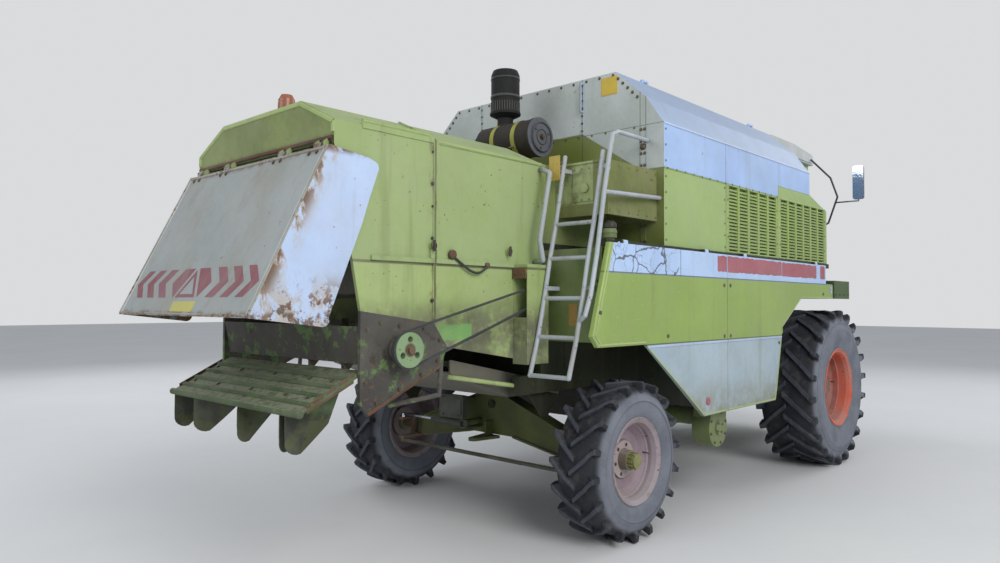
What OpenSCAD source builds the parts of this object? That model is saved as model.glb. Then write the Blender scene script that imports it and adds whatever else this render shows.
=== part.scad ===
// Self-propelled combine harvester without its header, parked as it was photographed.
// Millimetres, X forward, Y to the machine's left, Z up, the ground at Z 0.
// Inside the modules X is counted from the front axle; place() moves the whole machine so
// that the middle of its length is at X 0.

/* [Wheels] */
// Distance between the front and the rear axle
wheelbase = 3880; // [3800:10:3960]
// Radius of a front tyre over its lugs
front_tyre_r = 860; // [840:5:875]
// Width of a front tyre
front_tyre_w = 640; // [600:10:660]
// Distance between the middles of the front tyres
front_track = 2660; // [2640:10:2700]
// Radius on which a front tyre's bead sits
front_bead_r = 406; // [380:2:420]
// Radius of a rear tyre over its lugs
rear_tyre_r = 600; // [580:5:620]
// Width of a rear tyre
rear_tyre_w = 420; // [380:10:440]
// Distance between the middles of the rear tyres
rear_track = 2540; // [2520:10:2580]
// Radius on which a rear tyre's bead sits
rear_bead_r = 305; // [290:1:320]
// Height of a tyre lug above the carcass
lug_h = 42; // [30:2:50]

/* [Body] */
// Width over the threshing body and the straw hood
body_w = 1720; // [1690:10:1740]
// Height of the top of the threshing body
body_top = 2250; // [2230:5:2270]
// Thickness of sheet metal walls
wall = 25; // [20:1:30]
// Length of the straw hood behind the threshing body
hood_l = 1890; // [1850:10:1950]
// Height of the flat part of the hood's roof
hood_top = 3030; // [3010:10:3060]
// Height at which the hood's sides meet its roof
hood_eave = 2860; // [2850:5:2880]
// Height of the engine bay's top
bay_top = 2860; // [2855:5:2865]

/* [Grain tank] */
// Width over the tank's sides
tank_w = 2856; // [2840:4:2870]
// Height of the tank's flat top
tank_top = 3755; // [3720:5:3780]
// Height of the fold between side and roof slope
tank_fold = 3250; // [3230:5:3270]
// Half the width of the flat top
tank_flat = 965; // [950:5:980]
// Front wall of the tank, from the front axle
tank_front = -320; // [-330:5:-310]
// Front end of the louvred covers beside the cab, from the front axle
cover_front = 200; // [190:2:206]
// Rear wall of the tank, from the front axle
tank_rear = -3450; // [-3460:5:-3440]

/* [Side doors] */
// Distance from the middle plane to the outside of a side door
door_y = 1490; // [1480:2:1500]
// Thickness of a side door
door_t = 30; // [24:2:34]
// Height of the doors' lower green edge
door_low = 1475; // [1450:5:1500]
// Height of the lower edge of the white skirts
skirt_low = 836; // [820:4:860]
// Seam between the rear and the front door, from the front axle
door_seam = -2470; // [-2500:10:-2440]

/* [Cab] */
// Width over the cab's sides
cab_w = 1600; // [1560:10:1640]
// Rear wall of the cab, from the front axle
cab_rear = 20; // [15:1:30]
// Windscreen's foot, from the front axle
cab_front = 1240; // [1220:10:1260]
// Height of the cab's floor
floor_z = 2060; // [2050:5:2080]
// Height of the top of the cab's side windows
cab_eave = 3640; // [3600:10:3660]
// Thickness of the roof
roof_h = 190; // [160:10:220]

/* [Feeder house] */
// Width over the feeder house
feeder_w = 1320; // [1280:10:1340]
// Length from the pivot to the mouth
feeder_l = 1900; // [1860:10:1940]

/* [Steering and joints] */
// Distance between the two kingpins
kingpin_track = 2000; // [1980:10:2020]
// Length of the steering arms
steer_arm = 230; // [220:5:240]
// Radius of the hinge pins of doors and lids
pin_r = 7; // [6:0.5:8]
// Running clearance between a pin and its sleeve
pin_gap = 0.1; // [0.08:0.01:0.1]

/* [Hidden] */
$fn = 48;

green = "yellowgreen";
white = "gainsboro";
dark = "dimgray";

body_y = body_w / 2;
tank_y = tank_w / 2;
body_rear = -4310;
body_front = 0;
hood_rear = body_rear - hood_l;
flap_foot_x = hood_rear - 540;
flap_foot_z = 1700;
seat_gap = 0.3;
pivot_x = 150;
mouth_lean = 54;
mouth_x = pivot_x + feeder_l + mouth_lean;
front_axle_x = -(flap_foot_x + mouth_x) / 2;
rail_top = 1240;
rail_h = 140;
rail_w = 80;
side_rail_y = tank_y + 22;
door_axis_y = door_y - 15;
band_z = 2015;
spoke_w = 30;
door_axis_z = body_top - 10;

// Moves everything so that the machine's length is centred on the origin
module place() translate([front_axle_x, 0, 0]) children();

// A box given by its limits along each axis
module block(x0, x1, y0, y1, z0, z1)
    translate([x0, y0, z0]) cube([x1 - x0, y1 - y0, z1 - z0]);

// The same children on the left and on the right
module both_sides() {
    children();
    mirror([0, 1, 0]) children();
}

// Takes children made for the left side to a side: 1 left, -1 right
module on_side(side) mirror([0, side > 0 ? 0 : 1, 0]) children();

// An outline of [x, z] points as a plate from y0 to y1
module plate_xz(points, y0, y1)
    translate([0, y1, 0]) rotate([90, 0, 0]) linear_extrude(y1 - y0) polygon(points);

// An outline of [y, z] points as a plate from x0 to x1
module plate_yz(points, x0, x1)
    translate([x0, 0, 0]) rotate([90, 0, 90]) linear_extrude(x1 - x0) polygon(points);

// Round bars along the axes, from the point p
module bar_x(p, r, l) translate(p) rotate([0, 90, 0]) cylinder(r = r, h = l);
module bar_y(p, r, l) translate(p) rotate([-90, 0, 0]) cylinder(r = r, h = l);
module bar_z(p, r, l) translate(p) cylinder(r = r, h = l);

// A round bar between two points
module bar(a, b, r) {
    d = b - a;
    l = norm(d);
    translate(a) rotate([0, acos(d[2] / l), atan2(d[1], d[0])]) cylinder(r = r, h = l, $fn = 20);
}

// A bent tube through a list of points, with round corners
module tube(points, r) {
    for (i = [0 : len(points) - 2]) bar(points[i], points[i + 1], r);
    for (p = points) translate(p) sphere(r = r + 0.8, $fn = 20);
}

// Points of an arc round a centre, from angle a0 to a1 in n steps
function arc(c, r, a0, a1, n = 8) = [for (i = [0 : n]) let (a = a0 + (a1 - a0) * i / n)
    c + r * [cos(a), sin(a)]];
// The same with its chords lying on the arc
function arc_around(c, r, a0, a1, n) = arc(c, r / cos((a1 - a0) / n / 2), a0, a1, n);

// Outline of a belt round two pulleys given as [x, z, radius], grown outwards by t
function belt_loop(p, q, t, n = 18) = let (a = [p[0], p[1]], b = [q[0], q[1]],
    turn = atan2(b[1] - a[1], b[0] - a[0]), lean = acos((p[2] - q[2]) / norm(b - a)))
    concat(arc_around(a, p[2] + t, turn + lean, turn + 360 - lean, n),
        arc_around(b, q[2] + t, turn - lean, turn + lean, n));

// A belt of the given width round two pulleys, in a plane of constant y
belt_t = 12;
module belt(p, q, y, w) translate([0, y + w / 2, 0]) rotate([90, 0, 0]) linear_extrude(w) difference() {
    polygon(belt_loop(p, q, seat_gap + belt_t));
    polygon(belt_loop(p, q, seat_gap));
}

// A spoked pulley [x, z, radius] of width w, its middle at y
module pulley(p, y, w, hub_r = 34) translate([p[0], y, p[1]]) rotate([90, 0, 0]) {
    rotate_extrude() translate([p[2] - 16, -w / 2]) square([16, w]);
    cylinder(r = hub_r, h = w + 10, center = true);
    for (i = [0 : 4]) rotate(i * 72) translate([hub_r - 4, -spoke_w / 2, -7]) cube([p[2] - hub_r - 6,
        spoke_w, 14]);
}

// Wheels. Local Z is the wheel's outward direction and the origin its centre.

// Places children at a wheel's centre on the given side
module at_wheel(x, track, r, side)
    translate([x, side * track / 2, r]) rotate([-90 * side, 0, 0]) children();

// The points and, in reverse, their mirror images across the wheel's middle plane
function both_edges(points) = concat(points, [for (i = [len(points) - 1 : -1 : 0]) [points[i][0],
    -points[i][1]]]);

// Cross section of a tyre as [radius, width] points, carcass only
function tyre_outline(r, w, bead) = let (s = r - lug_h, h = s - bead)
    both_edges([[bead + seat_gap, w / 2 - 60], [bead + 0.5 * h, w / 2 - 3], [s, w / 2 - 80]]);

// Outer surface of the lugs: the tread with the uppermost part of the sidewalls
lug_drop = 0.13;
function tread_outline(r, w) = both_edges([[(1 - lug_drop) * r, w / 2], [r, w / 2 - 8]]);

// A lug seen from outside, [around, across], slanting from the middle to the edge
lug_overlap = 18;
function lug_outline(w, lug_w, lean) = let (run = lean * (w / 2 + lug_overlap))
    [[0, -lug_overlap], [lug_w, -lug_overlap], [run + lug_w, w / 2 + 1], [run, w / 2 + 1]];

// Carcass with lug_n lugs on each side of the tread, the two sides half a pitch apart
tyre_facets = 16;
module tyre(r, w, bead, lug_n, lug_w, lean) {
    rotate_extrude($fn = tyre_facets) polygon(tyre_outline(r, w, bead));
    intersection() {
        rotate_extrude($fn = tyre_facets) polygon(tread_outline(r, w));
        for (side = [0, 1], i = [0 : lug_n - 1]) mirror([0, 0, side]) rotate((i + side / 2) * 360 / lug_n)
            translate([(1 - lug_drop) * r, 0, 0]) rotate([90, 0, 90]) linear_extrude(lug_drop * r + 5)
                polygon(lug_outline(w, lug_w, lean));
    }
}

// A dished rim: barrel, flanges, disc and hub around a bore for the axle's stub
module rim(w, bead, flange, disc_z, hub_r, stub_r, cap_z) {
    h = w / 2 - 40;
    step = (h + disc_z) / 2;
    plate_r = hub_r + 70;
    rotate_extrude($fn = 96) polygon([
        [bead - 16, -h + 4], [flange - 6, -h - 14], [flange, -h - 6], [bead, -h + 18],
        [bead, h - 18], [flange, h + 6], [flange - 6, h + 14], [bead - 16, h - 4],
        [bead - 30, h - 40], [bead - 30, step], [bead - 44, step - 8], [bead - 46, disc_z + 56],
        [bead - 82, disc_z + 16], [plate_r, disc_z + 10], [plate_r, disc_z - 12], [bead - 34, disc_z - 12],
        [bead - 34, -h + 60]]);
    difference() {
        union() {
            translate([0, 0, disc_z - 40]) cylinder(r = plate_r, h = 64);
            translate([0, 0, disc_z - 60]) cylinder(r = hub_r, h = 150);
            translate([0, 0, disc_z + 80]) cylinder(r = hub_r - 20, h = cap_z - disc_z - 80);
            for (i = [0 : 11]) rotate(i * 30) translate([hub_r - 26, -5, disc_z + 80])
                cube([16, 10, (cap_z - disc_z - 80) * 0.8]);
        }
        translate([0, 0, disc_z - 61]) cylinder(r = stub_r + pin_gap, h = 121);
    }
}

front_disc_z = 40;
front_hub_r = 110;
front_stub_r = 60;
front_cap_z = 165;
rear_disc_z = 30;
rear_hub_r = 75;
rear_stub_r = 40;
rear_cap_z = 178;
front_lugs = 22;
front_lug_w = 66;
rear_lugs = 18;
rear_lug_w = 52;

module tyre_front_left() tyre_front(1);
module tyre_front_right() tyre_front(-1);
module tyre_rear_left() tyre_rear(1);
module tyre_rear_right() tyre_rear(-1);
module tyre_front(side) color(dark) at_wheel(0, front_track, front_tyre_r, side)
    tyre(front_tyre_r, front_tyre_w, front_bead_r, front_lugs, front_lug_w, -side);
module tyre_rear(side) color(dark) at_wheel(-wheelbase, rear_track, rear_tyre_r, side)
    tyre(rear_tyre_r, rear_tyre_w, rear_bead_r, rear_lugs, rear_lug_w, side);

module rim_front_left() rim_front(1);
module rim_front_right() rim_front(-1);
module rim_rear_left() rim_rear(1);
module rim_rear_right() rim_rear(-1);
module rim_front(side) color("tomato") at_wheel(0, front_track, front_tyre_r, side)
    rim(front_tyre_w, front_bead_r, front_bead_r + 26, front_disc_z, front_hub_r, front_stub_r,
        front_cap_z);
module rim_rear(side) color("indianred") at_wheel(-wheelbase, rear_track, rear_tyre_r, side)
    rim(rear_tyre_w, rear_bead_r, rear_bead_r + 25, rear_disc_z, rear_hub_r, rear_stub_r, rear_cap_z);

// Front axle: beam, final drives and the stubs that the wheels turn on
axle_tube_r = 95;
drive_y0 = 840;
drive_y1 = 985;
module front_axle() color(green) {
    bar_y([0, -drive_y0, front_tyre_r], axle_tube_r, 2 * drive_y0);
    both_sides() {
        bar_y([0, drive_y0, front_tyre_r], 215, drive_y1 - drive_y0);
        bar_y([0, drive_y1, front_tyre_r], front_stub_r, front_track / 2 + front_disc_z + 55 - drive_y1);
        block(-110, 110, 690, 780, front_tyre_r, rail_top - rail_h);
        // Ear that carries the lift cylinder's foot
        plate_xz([[0, front_tyre_r - 60], [0, front_tyre_r + 60], [lift_foot[0] + 40, lift_foot[1] + 40],
            [lift_foot[0] + 40, lift_foot[1] - 40], [lift_foot[0] - 40, lift_foot[1] - 40]],
            lift_y + 30, lift_y + 50);
        bar_y([lift_foot[0], lift_y - 30, lift_foot[1]], lift_pin_r, 62);
    }
}

// Frame rails under the body, cross members, outriggers and the rails that the doors hang on
axle_pivot_z = 900;
outriggers = [-3380, -1800, -260];
module chassis_frame() color(green) {
    both_sides() {
        block(-wheelbase - 670, 120, body_y - rail_w, body_y, rail_top - rail_h, rail_top);
        block(body_rear + 20, 200, side_rail_y - 50, side_rail_y, body_top - 50, body_top);
        for (x = outriggers) block(x, x + 60, body_y, side_rail_y - 50, body_top - 60, body_top);
        // Lugs that hold the feeder house's pivot
        plate_xz([[20, rail_top], [20, 1520], [180, 1520], [230, 1420], [180, rail_top]],
            feeder_w / 2 + 40, feeder_w / 2 + 70);
        bar_y([pivot_x, feeder_w / 2 - 40, pivot_z], 30, 112);
        // Gusset behind the rear wheel arch
        translate([-wheelbase, 0, 0]) plate_xz([[-500, rail_top - rail_h], [-130, rail_top - rail_h],
            [-260, 900], [-340, 900]], body_y - rail_w, body_y - rail_w + 14);
        for (s = door_hinges) door_hinge_pin(s);
    }
    for (x = [-wheelbase - 60, -1150, -72])
        block(x, x + 155, rail_w - body_y, body_y - rail_w, rail_top - rail_h, rail_top);
    // Bracket that the rear axle swings on
    plate_yz([[-270, rail_top - rail_h], [-90, axle_pivot_z - 60], [90, axle_pivot_z - 60],
        [270, rail_top - rail_h]], -wheelbase + 66, -wheelbase + 90);
    bar_x([-wheelbase - 80, 0, axle_pivot_z], 35, 160);
}

// Closed threshing body with the cleaning trough below it
module threshing_body() color("olivedrab") {
    plate_xz([[body_rear, rail_top], [body_rear, body_top], [body_front, body_top],
        [body_front, rail_top]], -body_y, body_y);
    plate_xz([[-3040, rail_top + 1], [-3040, 1000], [-2640, 640], [-2220, 600], [-1800, 640],
        [-1160, 1000], [-1160, rail_top + 1]], rail_w - body_y + seat_gap, body_y - rail_w - seat_gap);
}

// Drives along the body's sides: [side, distance from the body, pulley, pulley], each pulley as
// [x, z, radius]
side_belts = [
    [-1, 40, [-620, 1790, 190], [-1760, 1640, 120]],
    [-1, 100, [-1760, 1640, 150], [-3150, 1880, 230]],
    [1, 40, [-760, 1840, 150], [-2050, 1560, 210]],
    [1, 100, [-2050, 1560, 120], [-3450, 1750, 180]]];
drive_belt_w = 34;
module side_drives() color(dark) for (d = side_belts) on_side(d[0]) for (p = [d[2], d[3]]) {
    pulley(p, body_y + d[1], 40);
    bar_y([p[0], body_y, p[1]], 24, d[1] + 36);
    bar_y([p[0], body_y, p[1]], 52, 16);
}
module drive_belts() color(dark) for (d = side_belts) on_side(d[0])
    belt(d[2], d[3], body_y + d[1], drive_belt_w);

// Straw hood: open below, with ledges, front and rear walls
hood_side = [[hood_rear, hood_top + 60], [hood_rear, 2720], [-6000, 1734], [-5410, 1653],
    [-5290, 1490], [-4600, 1376], [body_rear, 1330], [body_rear, hood_top + 60]];
function hood_ring(t) = [[-body_y + t, 1000], [-body_y + t, hood_eave], [-500, hood_top - t],
    [500, hood_top - t], [body_y - t, hood_eave], [body_y - t, 1000]];
hinge_z = 2715;
hinge_x = hood_rear - 25;
hood_seam = -5410;
module straw_hood() color(green) {
    intersection() {
        plate_xz(hood_side, -body_y, body_y);
        difference() {
            plate_yz(hood_ring(0), hood_rear, body_rear);
            plate_yz(hood_ring(wall), hood_rear + wall, body_rear - wall);
            block(hood_rear - 1, hood_rear + wall + 1, wall - body_y, body_y - wall, 900, 2740);
            block(body_rear - wall - 1, body_rear + 1, wall - body_y, body_y - wall, 900, body_top);
        }
    }
    belt_guard();
    both_sides() {
        // Ledge, upright seam, lip along the roof's edge and its ribs
        block(-5930, guard[0][0] - 1, body_y, body_y + 14, 2045, 2075);
        block(hood_seam - 16, hood_seam + 16, body_y, body_y + 8, 1680, hood_eave);
        block(hood_seam - 44, hood_seam + 12, body_y, body_y + 16, 2075, 2140);
        plate_xz([[-6000, hood_eave - 20], [-6000, hood_eave + 40], [hood_seam - 60, hood_eave + 40],
            [hood_seam + 10, hood_eave + 4], [body_rear, hood_eave + 4], [body_rear, hood_eave - 20]],
            body_y - 10, body_y + 6);
        plate_yz([[body_y - 12, hood_eave], [500, hood_top - 1], [500, hood_top + 14], [body_y - 12,
            hood_eave + 22]],
            hood_seam - 20, hood_seam);
        // Latches that hold the side panels
        for (x = [hood_seam - 30, -4700]) bar_y([x, body_y, 2160], 22, 30);
        for (y = [300, 700]) {
            plate_xz([[hood_rear, 2760], [hood_rear, hinge_z - 12], [hinge_x - 14, hinge_z - 12],
                [hinge_x - 14, hinge_z + 14]], y, y + 24);
            plate_xz([[hood_rear, 2760], [hood_rear, hinge_z - 12], [hinge_x - 14, hinge_z - 12],
                [hinge_x - 14, hinge_z + 14]], y + 84, y + 108);
            bar_y([hinge_x, y, hinge_z], pin_r, 108);
        }
    }
}

// Guard over the chopper's drive pulley, open to the rear where the belt comes out
module belt_guard() {
    difference() {
        block(guard[0][0], guard[1][0], -guard_y, -body_y, guard[0][1], guard[1][1]);
        block(guard[0][0] - 1, guard[1][0] - 8, 6 - guard_y, -body_y - 8, 1680, 2000);
    }
    bar_y([chopper_drive[0], -guard_y + 1, chopper_drive[1]], 14, guard_y - body_y - 2);
    pulley(chopper_drive, pulley_y, 40, 24);
}

// Rear flap with its side cheeks, hung below the hood's rear wall
flap_t = 20;
cheek_y = body_y + 6;
flap_top = [hood_rear - 50, 2700];
module hood_flap() color(white) {
    difference() {
        plate_xz([flap_top, [flap_top[0] + 22, flap_top[1]], [flap_foot_x + 22, flap_foot_z],
            [flap_foot_x, flap_foot_z]], -cheek_y - 18, cheek_y + 18);
        // Notches that swing past the hood's hinge plates
        both_sides() for (y = [300, 700], dy = [-5, 82]) block(flap_top[0] - 20, flap_top[0] + 30, y + dy,
            y + dy + 31, flap_top[1] - 14, flap_top[1] + 1);
    }
    // Folded lower edge and the ribs behind the sheet
    plate_xz([[flap_foot_x, flap_foot_z], [flap_foot_x + 60, flap_foot_z], [flap_foot_x + 60,
        flap_foot_z + 14],
        [flap_foot_x + 7, flap_foot_z + 14]], -cheek_y, cheek_y);
    for (y = [-430, 0, 430]) plate_xz([[flap_top[0] - 80, 2500], [flap_top[0] - 60, 2500],
        [flap_foot_x + 62, flap_foot_z + 10], [flap_foot_x + 14, flap_foot_z + 10]], y - 12, y + 12);
    both_sides() {
        plate_xz(concat([flap_top, [-5960, 2660]], arc([-5930, 2605], 40, 80, -15, 6), [[-5960, 2410],
            [-6010, 2260], [-6240, 1700]], arc([-6280, 1690], 46, -20, -110, 5), [[flap_foot_x,
                flap_foot_z]]),
            cheek_y, cheek_y + 18);
        for (y = [300, 700]) difference() {
            union() {
                bar_y([hinge_x, y + 26, hinge_z], pin_r + 7, 56);
                block(flap_top[0], hinge_x, y + 26, y + 82, flap_top[1] - 30, hinge_z);
            }
            bar_y([hinge_x, y + 25, hinge_z], pin_r + pin_gap, 58);
        }
    }
}

// Six straw walkers with their stepped sides on a crankshaft
walker_n = 6;
walker_x0 = -5800;
walker_steps = 4;
walker_teeth = 7;
tooth_h = 34;
walker_pitch = (body_w - 2 * wall - 20) / walker_n;
walker_step_l = (body_rear - 30 - walker_x0) / walker_steps;
// Top edge of a walker, with or without its saw teeth
function walker_top(lift, teeth) = [for (k = [0 : walker_steps - 1],
    j = [0 : walker_teeth]) let (f = j / walker_teeth,
    x = walker_x0 + (k + f) * walker_step_l, z = 2000 - 100 * f + lift + 60 * k)
    each teeth && j < walker_teeth ? [[x, z], [x + 14, z + tooth_h]] : [[x, z]]];
module walker_plate(y0, y1, lift, teeth) plate_xz(concat(walker_top(lift, teeth),
    [[body_rear - 30, 1880 + lift], [walker_x0, 1800 + lift]]), y0, y1);
module straw_walkers() color(dark) {
    for (i = [0 : walker_n - 1]) {
        y0 = -body_y + wall + 10 + i * walker_pitch + 8;
        y1 = y0 + walker_pitch - 16;
        lift = 40 * (i % 3);
        walker_plate(y0, y1, lift, false);
        walker_plate(y0, y0 + 8, lift, true);
        walker_plate(y1 - 8, y1, lift, true);
    }
    bar_y([-5200, wall - body_y, 1930], 22, body_w - 2 * wall);
}

// Chopper: side plates that continue the hood's sides, with a rear plate
rotor = [-5715, 1493];
rotor_r = 185;
rotor_shaft_r = 23;
spread_axis = [-5960, 1360];
module chopper_housing() color("darkkhaki") {
    both_sides() difference() {
        plate_xz([[-6000, 1734], [-5410, 1653], [-5290, 1490], [-5350, 1354], [-5940, 1095],
            [-6000, 1180]], body_y - wall, body_y);
        bar_y([rotor[0], body_y - wall - 1, rotor[1]], rotor_shaft_r + pin_gap, wall + 2);
        bar_y([spread_axis[0], body_y - wall - 1, spread_axis[1]], 12 + pin_gap, wall + 2);
    }
    plate_xz([[-6000, 1640], [-5985, 1640], [-5945, 1410], [-5960, 1410]], wall - body_y, body_y - wall);
    plate_xz([[-5480, 1640], [-5465, 1640], [-5400, 1340], [-5415, 1340]], wall - body_y, body_y - wall);
    both_sides() tube([[-5330, body_y - 12, 1430], [-5350, body_y - 12, 1175], [-5640, 700, 1120]], 16);
}

// Chopper rotor: tube, flails and the driven pulley on the right side
pulley_y = -965;
pulley_r = 110;
module chopper_rotor() color(dark) {
    bar_y([rotor[0], wall - body_y + 10, rotor[1]], 60, body_w - 2 * wall - 20);
    bar_y([rotor[0], pulley_y - 40, rotor[1]], rotor_shaft_r, body_y - pulley_y + 40);
    for (i = [0 : 7], a = [0, 90, 180, 270])
        translate([rotor[0], -700 + i * 200, rotor[1]]) rotate([0, a + 45 * (i % 2), 0])
            block(50, rotor_r, -4, 4, -25, 25);
    difference() {
        bar_y([rotor[0], pulley_y - 20, rotor[1]], pulley_r, 40);
        for (a = [30, 150, 270]) translate([rotor[0], pulley_y - 21, rotor[1]]) rotate([-90, a, 0])
            translate([66, 0, 0]) cylinder(r = 20, h = 42);
    }
}

// Belt from the chopper's pulley to the drive pulley behind the guard on the hood's side
guard = [[-4630, 1340], [-4388, 2070]];
guard_y = 998;
chopper_drive = [-4474, 1853, 57];
module chopper_belt() color(dark) belt([rotor[0], rotor[1], pulley_r], chopper_drive, pulley_y, 24);

// Spreader board with ribs above and guide fins below, hung in the chopper's side plates
spread_y = body_y - wall - 6;
fin_t = 6;
// Guide fins: where each starts across the board, how far its rear end lies to the side
spreader_fins = [[735, 60], [386, 110], [-64, -40], [-482, -120], [-718, 50]];
spread_rear = [-6385, 1150];
module spreader() color(green) {
    plate_xz([[-5958, 1372], [spread_rear[0], spread_rear[1] + 6], [spread_rear[0], spread_rear[1] - 6],
        [-5958, 1348]], -spread_y, spread_y);
    bar_y([spread_rear[0], -spread_y, spread_rear[1]], 22, 2 * spread_y);
    bar_y([spread_axis[0], -body_y + 1, spread_axis[1]], 12, body_w - 2);
    // Ribs across the board
    for (f = [0.22, 0.42, 0.62, 0.82]) translate([-5958 - 427 * f, 0, 1372 - 216 * f])
        plate_xz([[-16, -4], [-8, 16], [6, 16], [14, -8]], -spread_y, spread_y);
    for (f = spreader_fins) intersection() {
        fin_plan(f[0], f[1]);
        plate_xz(concat([[-6010, 1330], [-6380, 1150], [-6390, 1060]], arc([-6315, 965], 68, 170, 290, 6),
            [[-6120, 1060]]), -body_y, body_y);
    }
}
// A fin from above: a shallow arc from y at the front to y + turn at the rear
module fin_plan(y, turn) {
    l = 380;
    r = (l * l + turn * turn) / (2 * abs(turn));
    sweep = asin(l / r);
    c = [-6005, y + (turn > 0 ? r : -r)];
    from = turn > 0 ? -90 : 90;
    step = turn > 0 ? -sweep : sweep;
    translate([0, 0, 850]) linear_extrude(500) polygon(concat(arc(c, r, from, from + step, 6),
        arc(c, r - fin_t, from + step, from, 6)));
}

// Rear part of the sieve box, hung between the frame rails
sieve_y = 700;
sieve_front = -wheelbase - 140;
sieve_rear = -5110;
sieve_pitch = 68;
sieve_slope = 0.209;
function sieve_edge(x) = [x, 1385 - sieve_slope * (x - sieve_rear)];
module sieve_box() color(dark) {
    fold = sieve_front - 480;
    both_sides() plate_xz([sieve_edge(sieve_rear), sieve_edge(sieve_front), [sieve_front, 1070], [fold,
        1070],
        [sieve_rear, 1290]], sieve_y - 14, sieve_y);
    // Pan, front wall and the blades of the upper sieve
    plate_xz([[sieve_rear, 1300], [sieve_rear, 1288], [fold, 1070], [sieve_front, 1070], [sieve_front,
        1082],
        [fold + 2, 1082]], 1 - sieve_y, sieve_y - 1);
    block(sieve_front - 20, sieve_front, 1 - sieve_y, sieve_y - 1, 1080, 1157);
    for (x = [sieve_rear + 30 : sieve_pitch : sieve_front - 38]) translate(
        [x, 0, sieve_edge(x)[1] - 13])
        plate_xz([[-18, -26], [-14, -28], [18, 2], [14, 6]], 1 - sieve_y, sieve_y - 1);
    both_sides() bar_y([sieve_front - 280, sieve_y - 1, 1160], 18, body_y - rail_w - sieve_y + 1);
}

// Tank shell: an outline of [y, z] points for the outside and the inside
function tank_ring(t) = [[-tank_y + t, body_top], [-tank_y + t, tank_fold],
    [-1260 + t * 0.8, 3490 - t * 0.6], [-tank_flat + t * 0.6, tank_top - t],
    [tank_flat - t * 0.6, tank_top - t], [1260 - t * 0.8, 3490 - t * 0.6],
    [tank_y - t, tank_fold], [tank_y - t, body_top]];
tank_floor = 2900;
lid_open_y = 880;
lid_x0 = tank_rear + 130;
lid_x1 = tank_front - 130;
louvre_z = [2270, 2870];
// Louvred panels: [side, start, end]. The left covers are shorter, the auger stands there
louvre_panels = [[-1, -2340, -1200], [-1, -1160, 150], [1, -2340, -1200], [1, -1160, -380]];
cover_top = 3000;
cover_inner = 880;
recess_y = 1300;
module grain_tank() color(white) {
    difference() {
        union() {
            plate_yz(tank_ring(0), tank_rear, tank_front);
            // Covers that run on beside the cab, with their front corner cut off
            for (y = [[-tank_y, -cover_inner], [cover_inner, recess_y]])
                plate_xz([[tank_front - 1, body_top], [tank_front - 1, cover_top], [tank_front, cover_top],
                    [cover_front, 2860], [cover_front, body_top]], y[0], y[1]);
        }
        // The bin, open at the top
        intersection() {
            plate_yz(tank_ring(wall), tank_rear + wall, tank_front - wall);
            plate_xz([[tank_rear, tank_floor + 40], [tank_rear, tank_top - wall + 1],
                [tank_front, tank_top - wall + 1], [tank_front, 3056], [tank_front - 120, tank_floor + 40]],
                -tank_y, tank_y);
        }
        block(lid_x0, lid_x1, -lid_open_y, lid_open_y, tank_top - wall - 1, tank_top + 1);
        // Space below the bin, behind the louvres
        for (p = louvre_panels) on_side(p[0])
            block(p[1], p[2], tank_y - 60, tank_y + 1, louvre_z[0], louvre_z[1]);
    }
    both_sides() {
        for (x = lid_hinges) lid_hinge_pin(x);
        // Seams of the rear wall and the folded edge above the louvres
        for (z = [[body_top + 40, wing_low - 2], [bay_top + 6, 3240]])
            block(tank_rear - 4, tank_rear, 1205, 1260, z[0], z[1]);
        block(tank_rear - 4, tank_rear, 608, 624, 3271, tank_top - 10);
        block(tank_rear, -1190, tank_y - 1, tank_y + 5, 2880, 2890);
    }
    // Upright grab rod on the rear wall
    tube([[tank_rear - 3, -616, 3470], [tank_rear - 28, -616, 3470], [tank_rear - 28, -616, 3720],
        [tank_rear - 3, -616, 3720]], 9);
}

// Louvred panels in both sides: slanted blades between upright bars
blade_n = 18;
louvre_bar = 42;
module side_louvres() color(green) for (p = louvre_panels) on_side(p[0]) {
    cols = round((p[2] - p[1]) / 225);
    pitch = (louvre_z[1] - louvre_z[0] - 30) / blade_n;
    for (k = [0 : blade_n - 1]) {
        z = louvre_z[0] + 15 + k * pitch;
        plate_yz([[tank_y - 18, z + pitch * 0.45], [tank_y - 18, z + pitch * 0.85],
            [tank_y - 2, z + pitch * 0.5], [tank_y - 2, z + pitch * 0.1]], p[1] + seat_gap,
                p[2] - seat_gap);
    }
    for (c = [0 : cols]) {
        x = p[1] + seat_gap + c * (p[2] - p[1] - 2 * seat_gap - louvre_bar) / cols;
        block(x, x + louvre_bar, tank_y - 20, tank_y, louvre_z[0] + seat_gap, louvre_z[1] - seat_gap);
    }
}

// Lids on the tank, hinged along their outer edges
lid_hinges = [tank_rear + 420, tank_front - 520];
lid_axis_y = tank_flat - 12;
lid_axis_z = tank_top + 20;
lid_t = 22;
module lid_hinge_pin(x) {
    for (d = [0, 84]) block(x + d, x + d + 24, lid_axis_y - 12, lid_axis_y + 12, tank_top - 5,
        lid_axis_z + 10);
    bar_x([x, lid_axis_y, lid_axis_z], pin_r, 108);
}
module tank_lid() color(white) {
    block(lid_x0 - 40, lid_x1 + 40, 4, lid_axis_y - 30, tank_top + seat_gap, tank_top + lid_t);
    for (i = [0 : 4]) block(lid_x0 + 200 + 600 * i, lid_x0 + 240 + 600 * i, 40, lid_axis_y - 90,
        tank_top + lid_t - 1, tank_top + lid_t + 10);
    for (x = lid_hinges) difference() {
        union() {
            bar_x([x + 26, lid_axis_y, lid_axis_z], pin_r + 7, 56);
            block(x + 26, x + 82, lid_axis_y - 34, lid_axis_y, lid_axis_z - 8, lid_axis_z + 8);
        }
        bar_x([x + 25, lid_axis_y, lid_axis_z], pin_r + pin_gap, 58);
    }
}
module tank_lid_left() tank_lid();
module tank_lid_right() on_side(-1) tank_lid();

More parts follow.
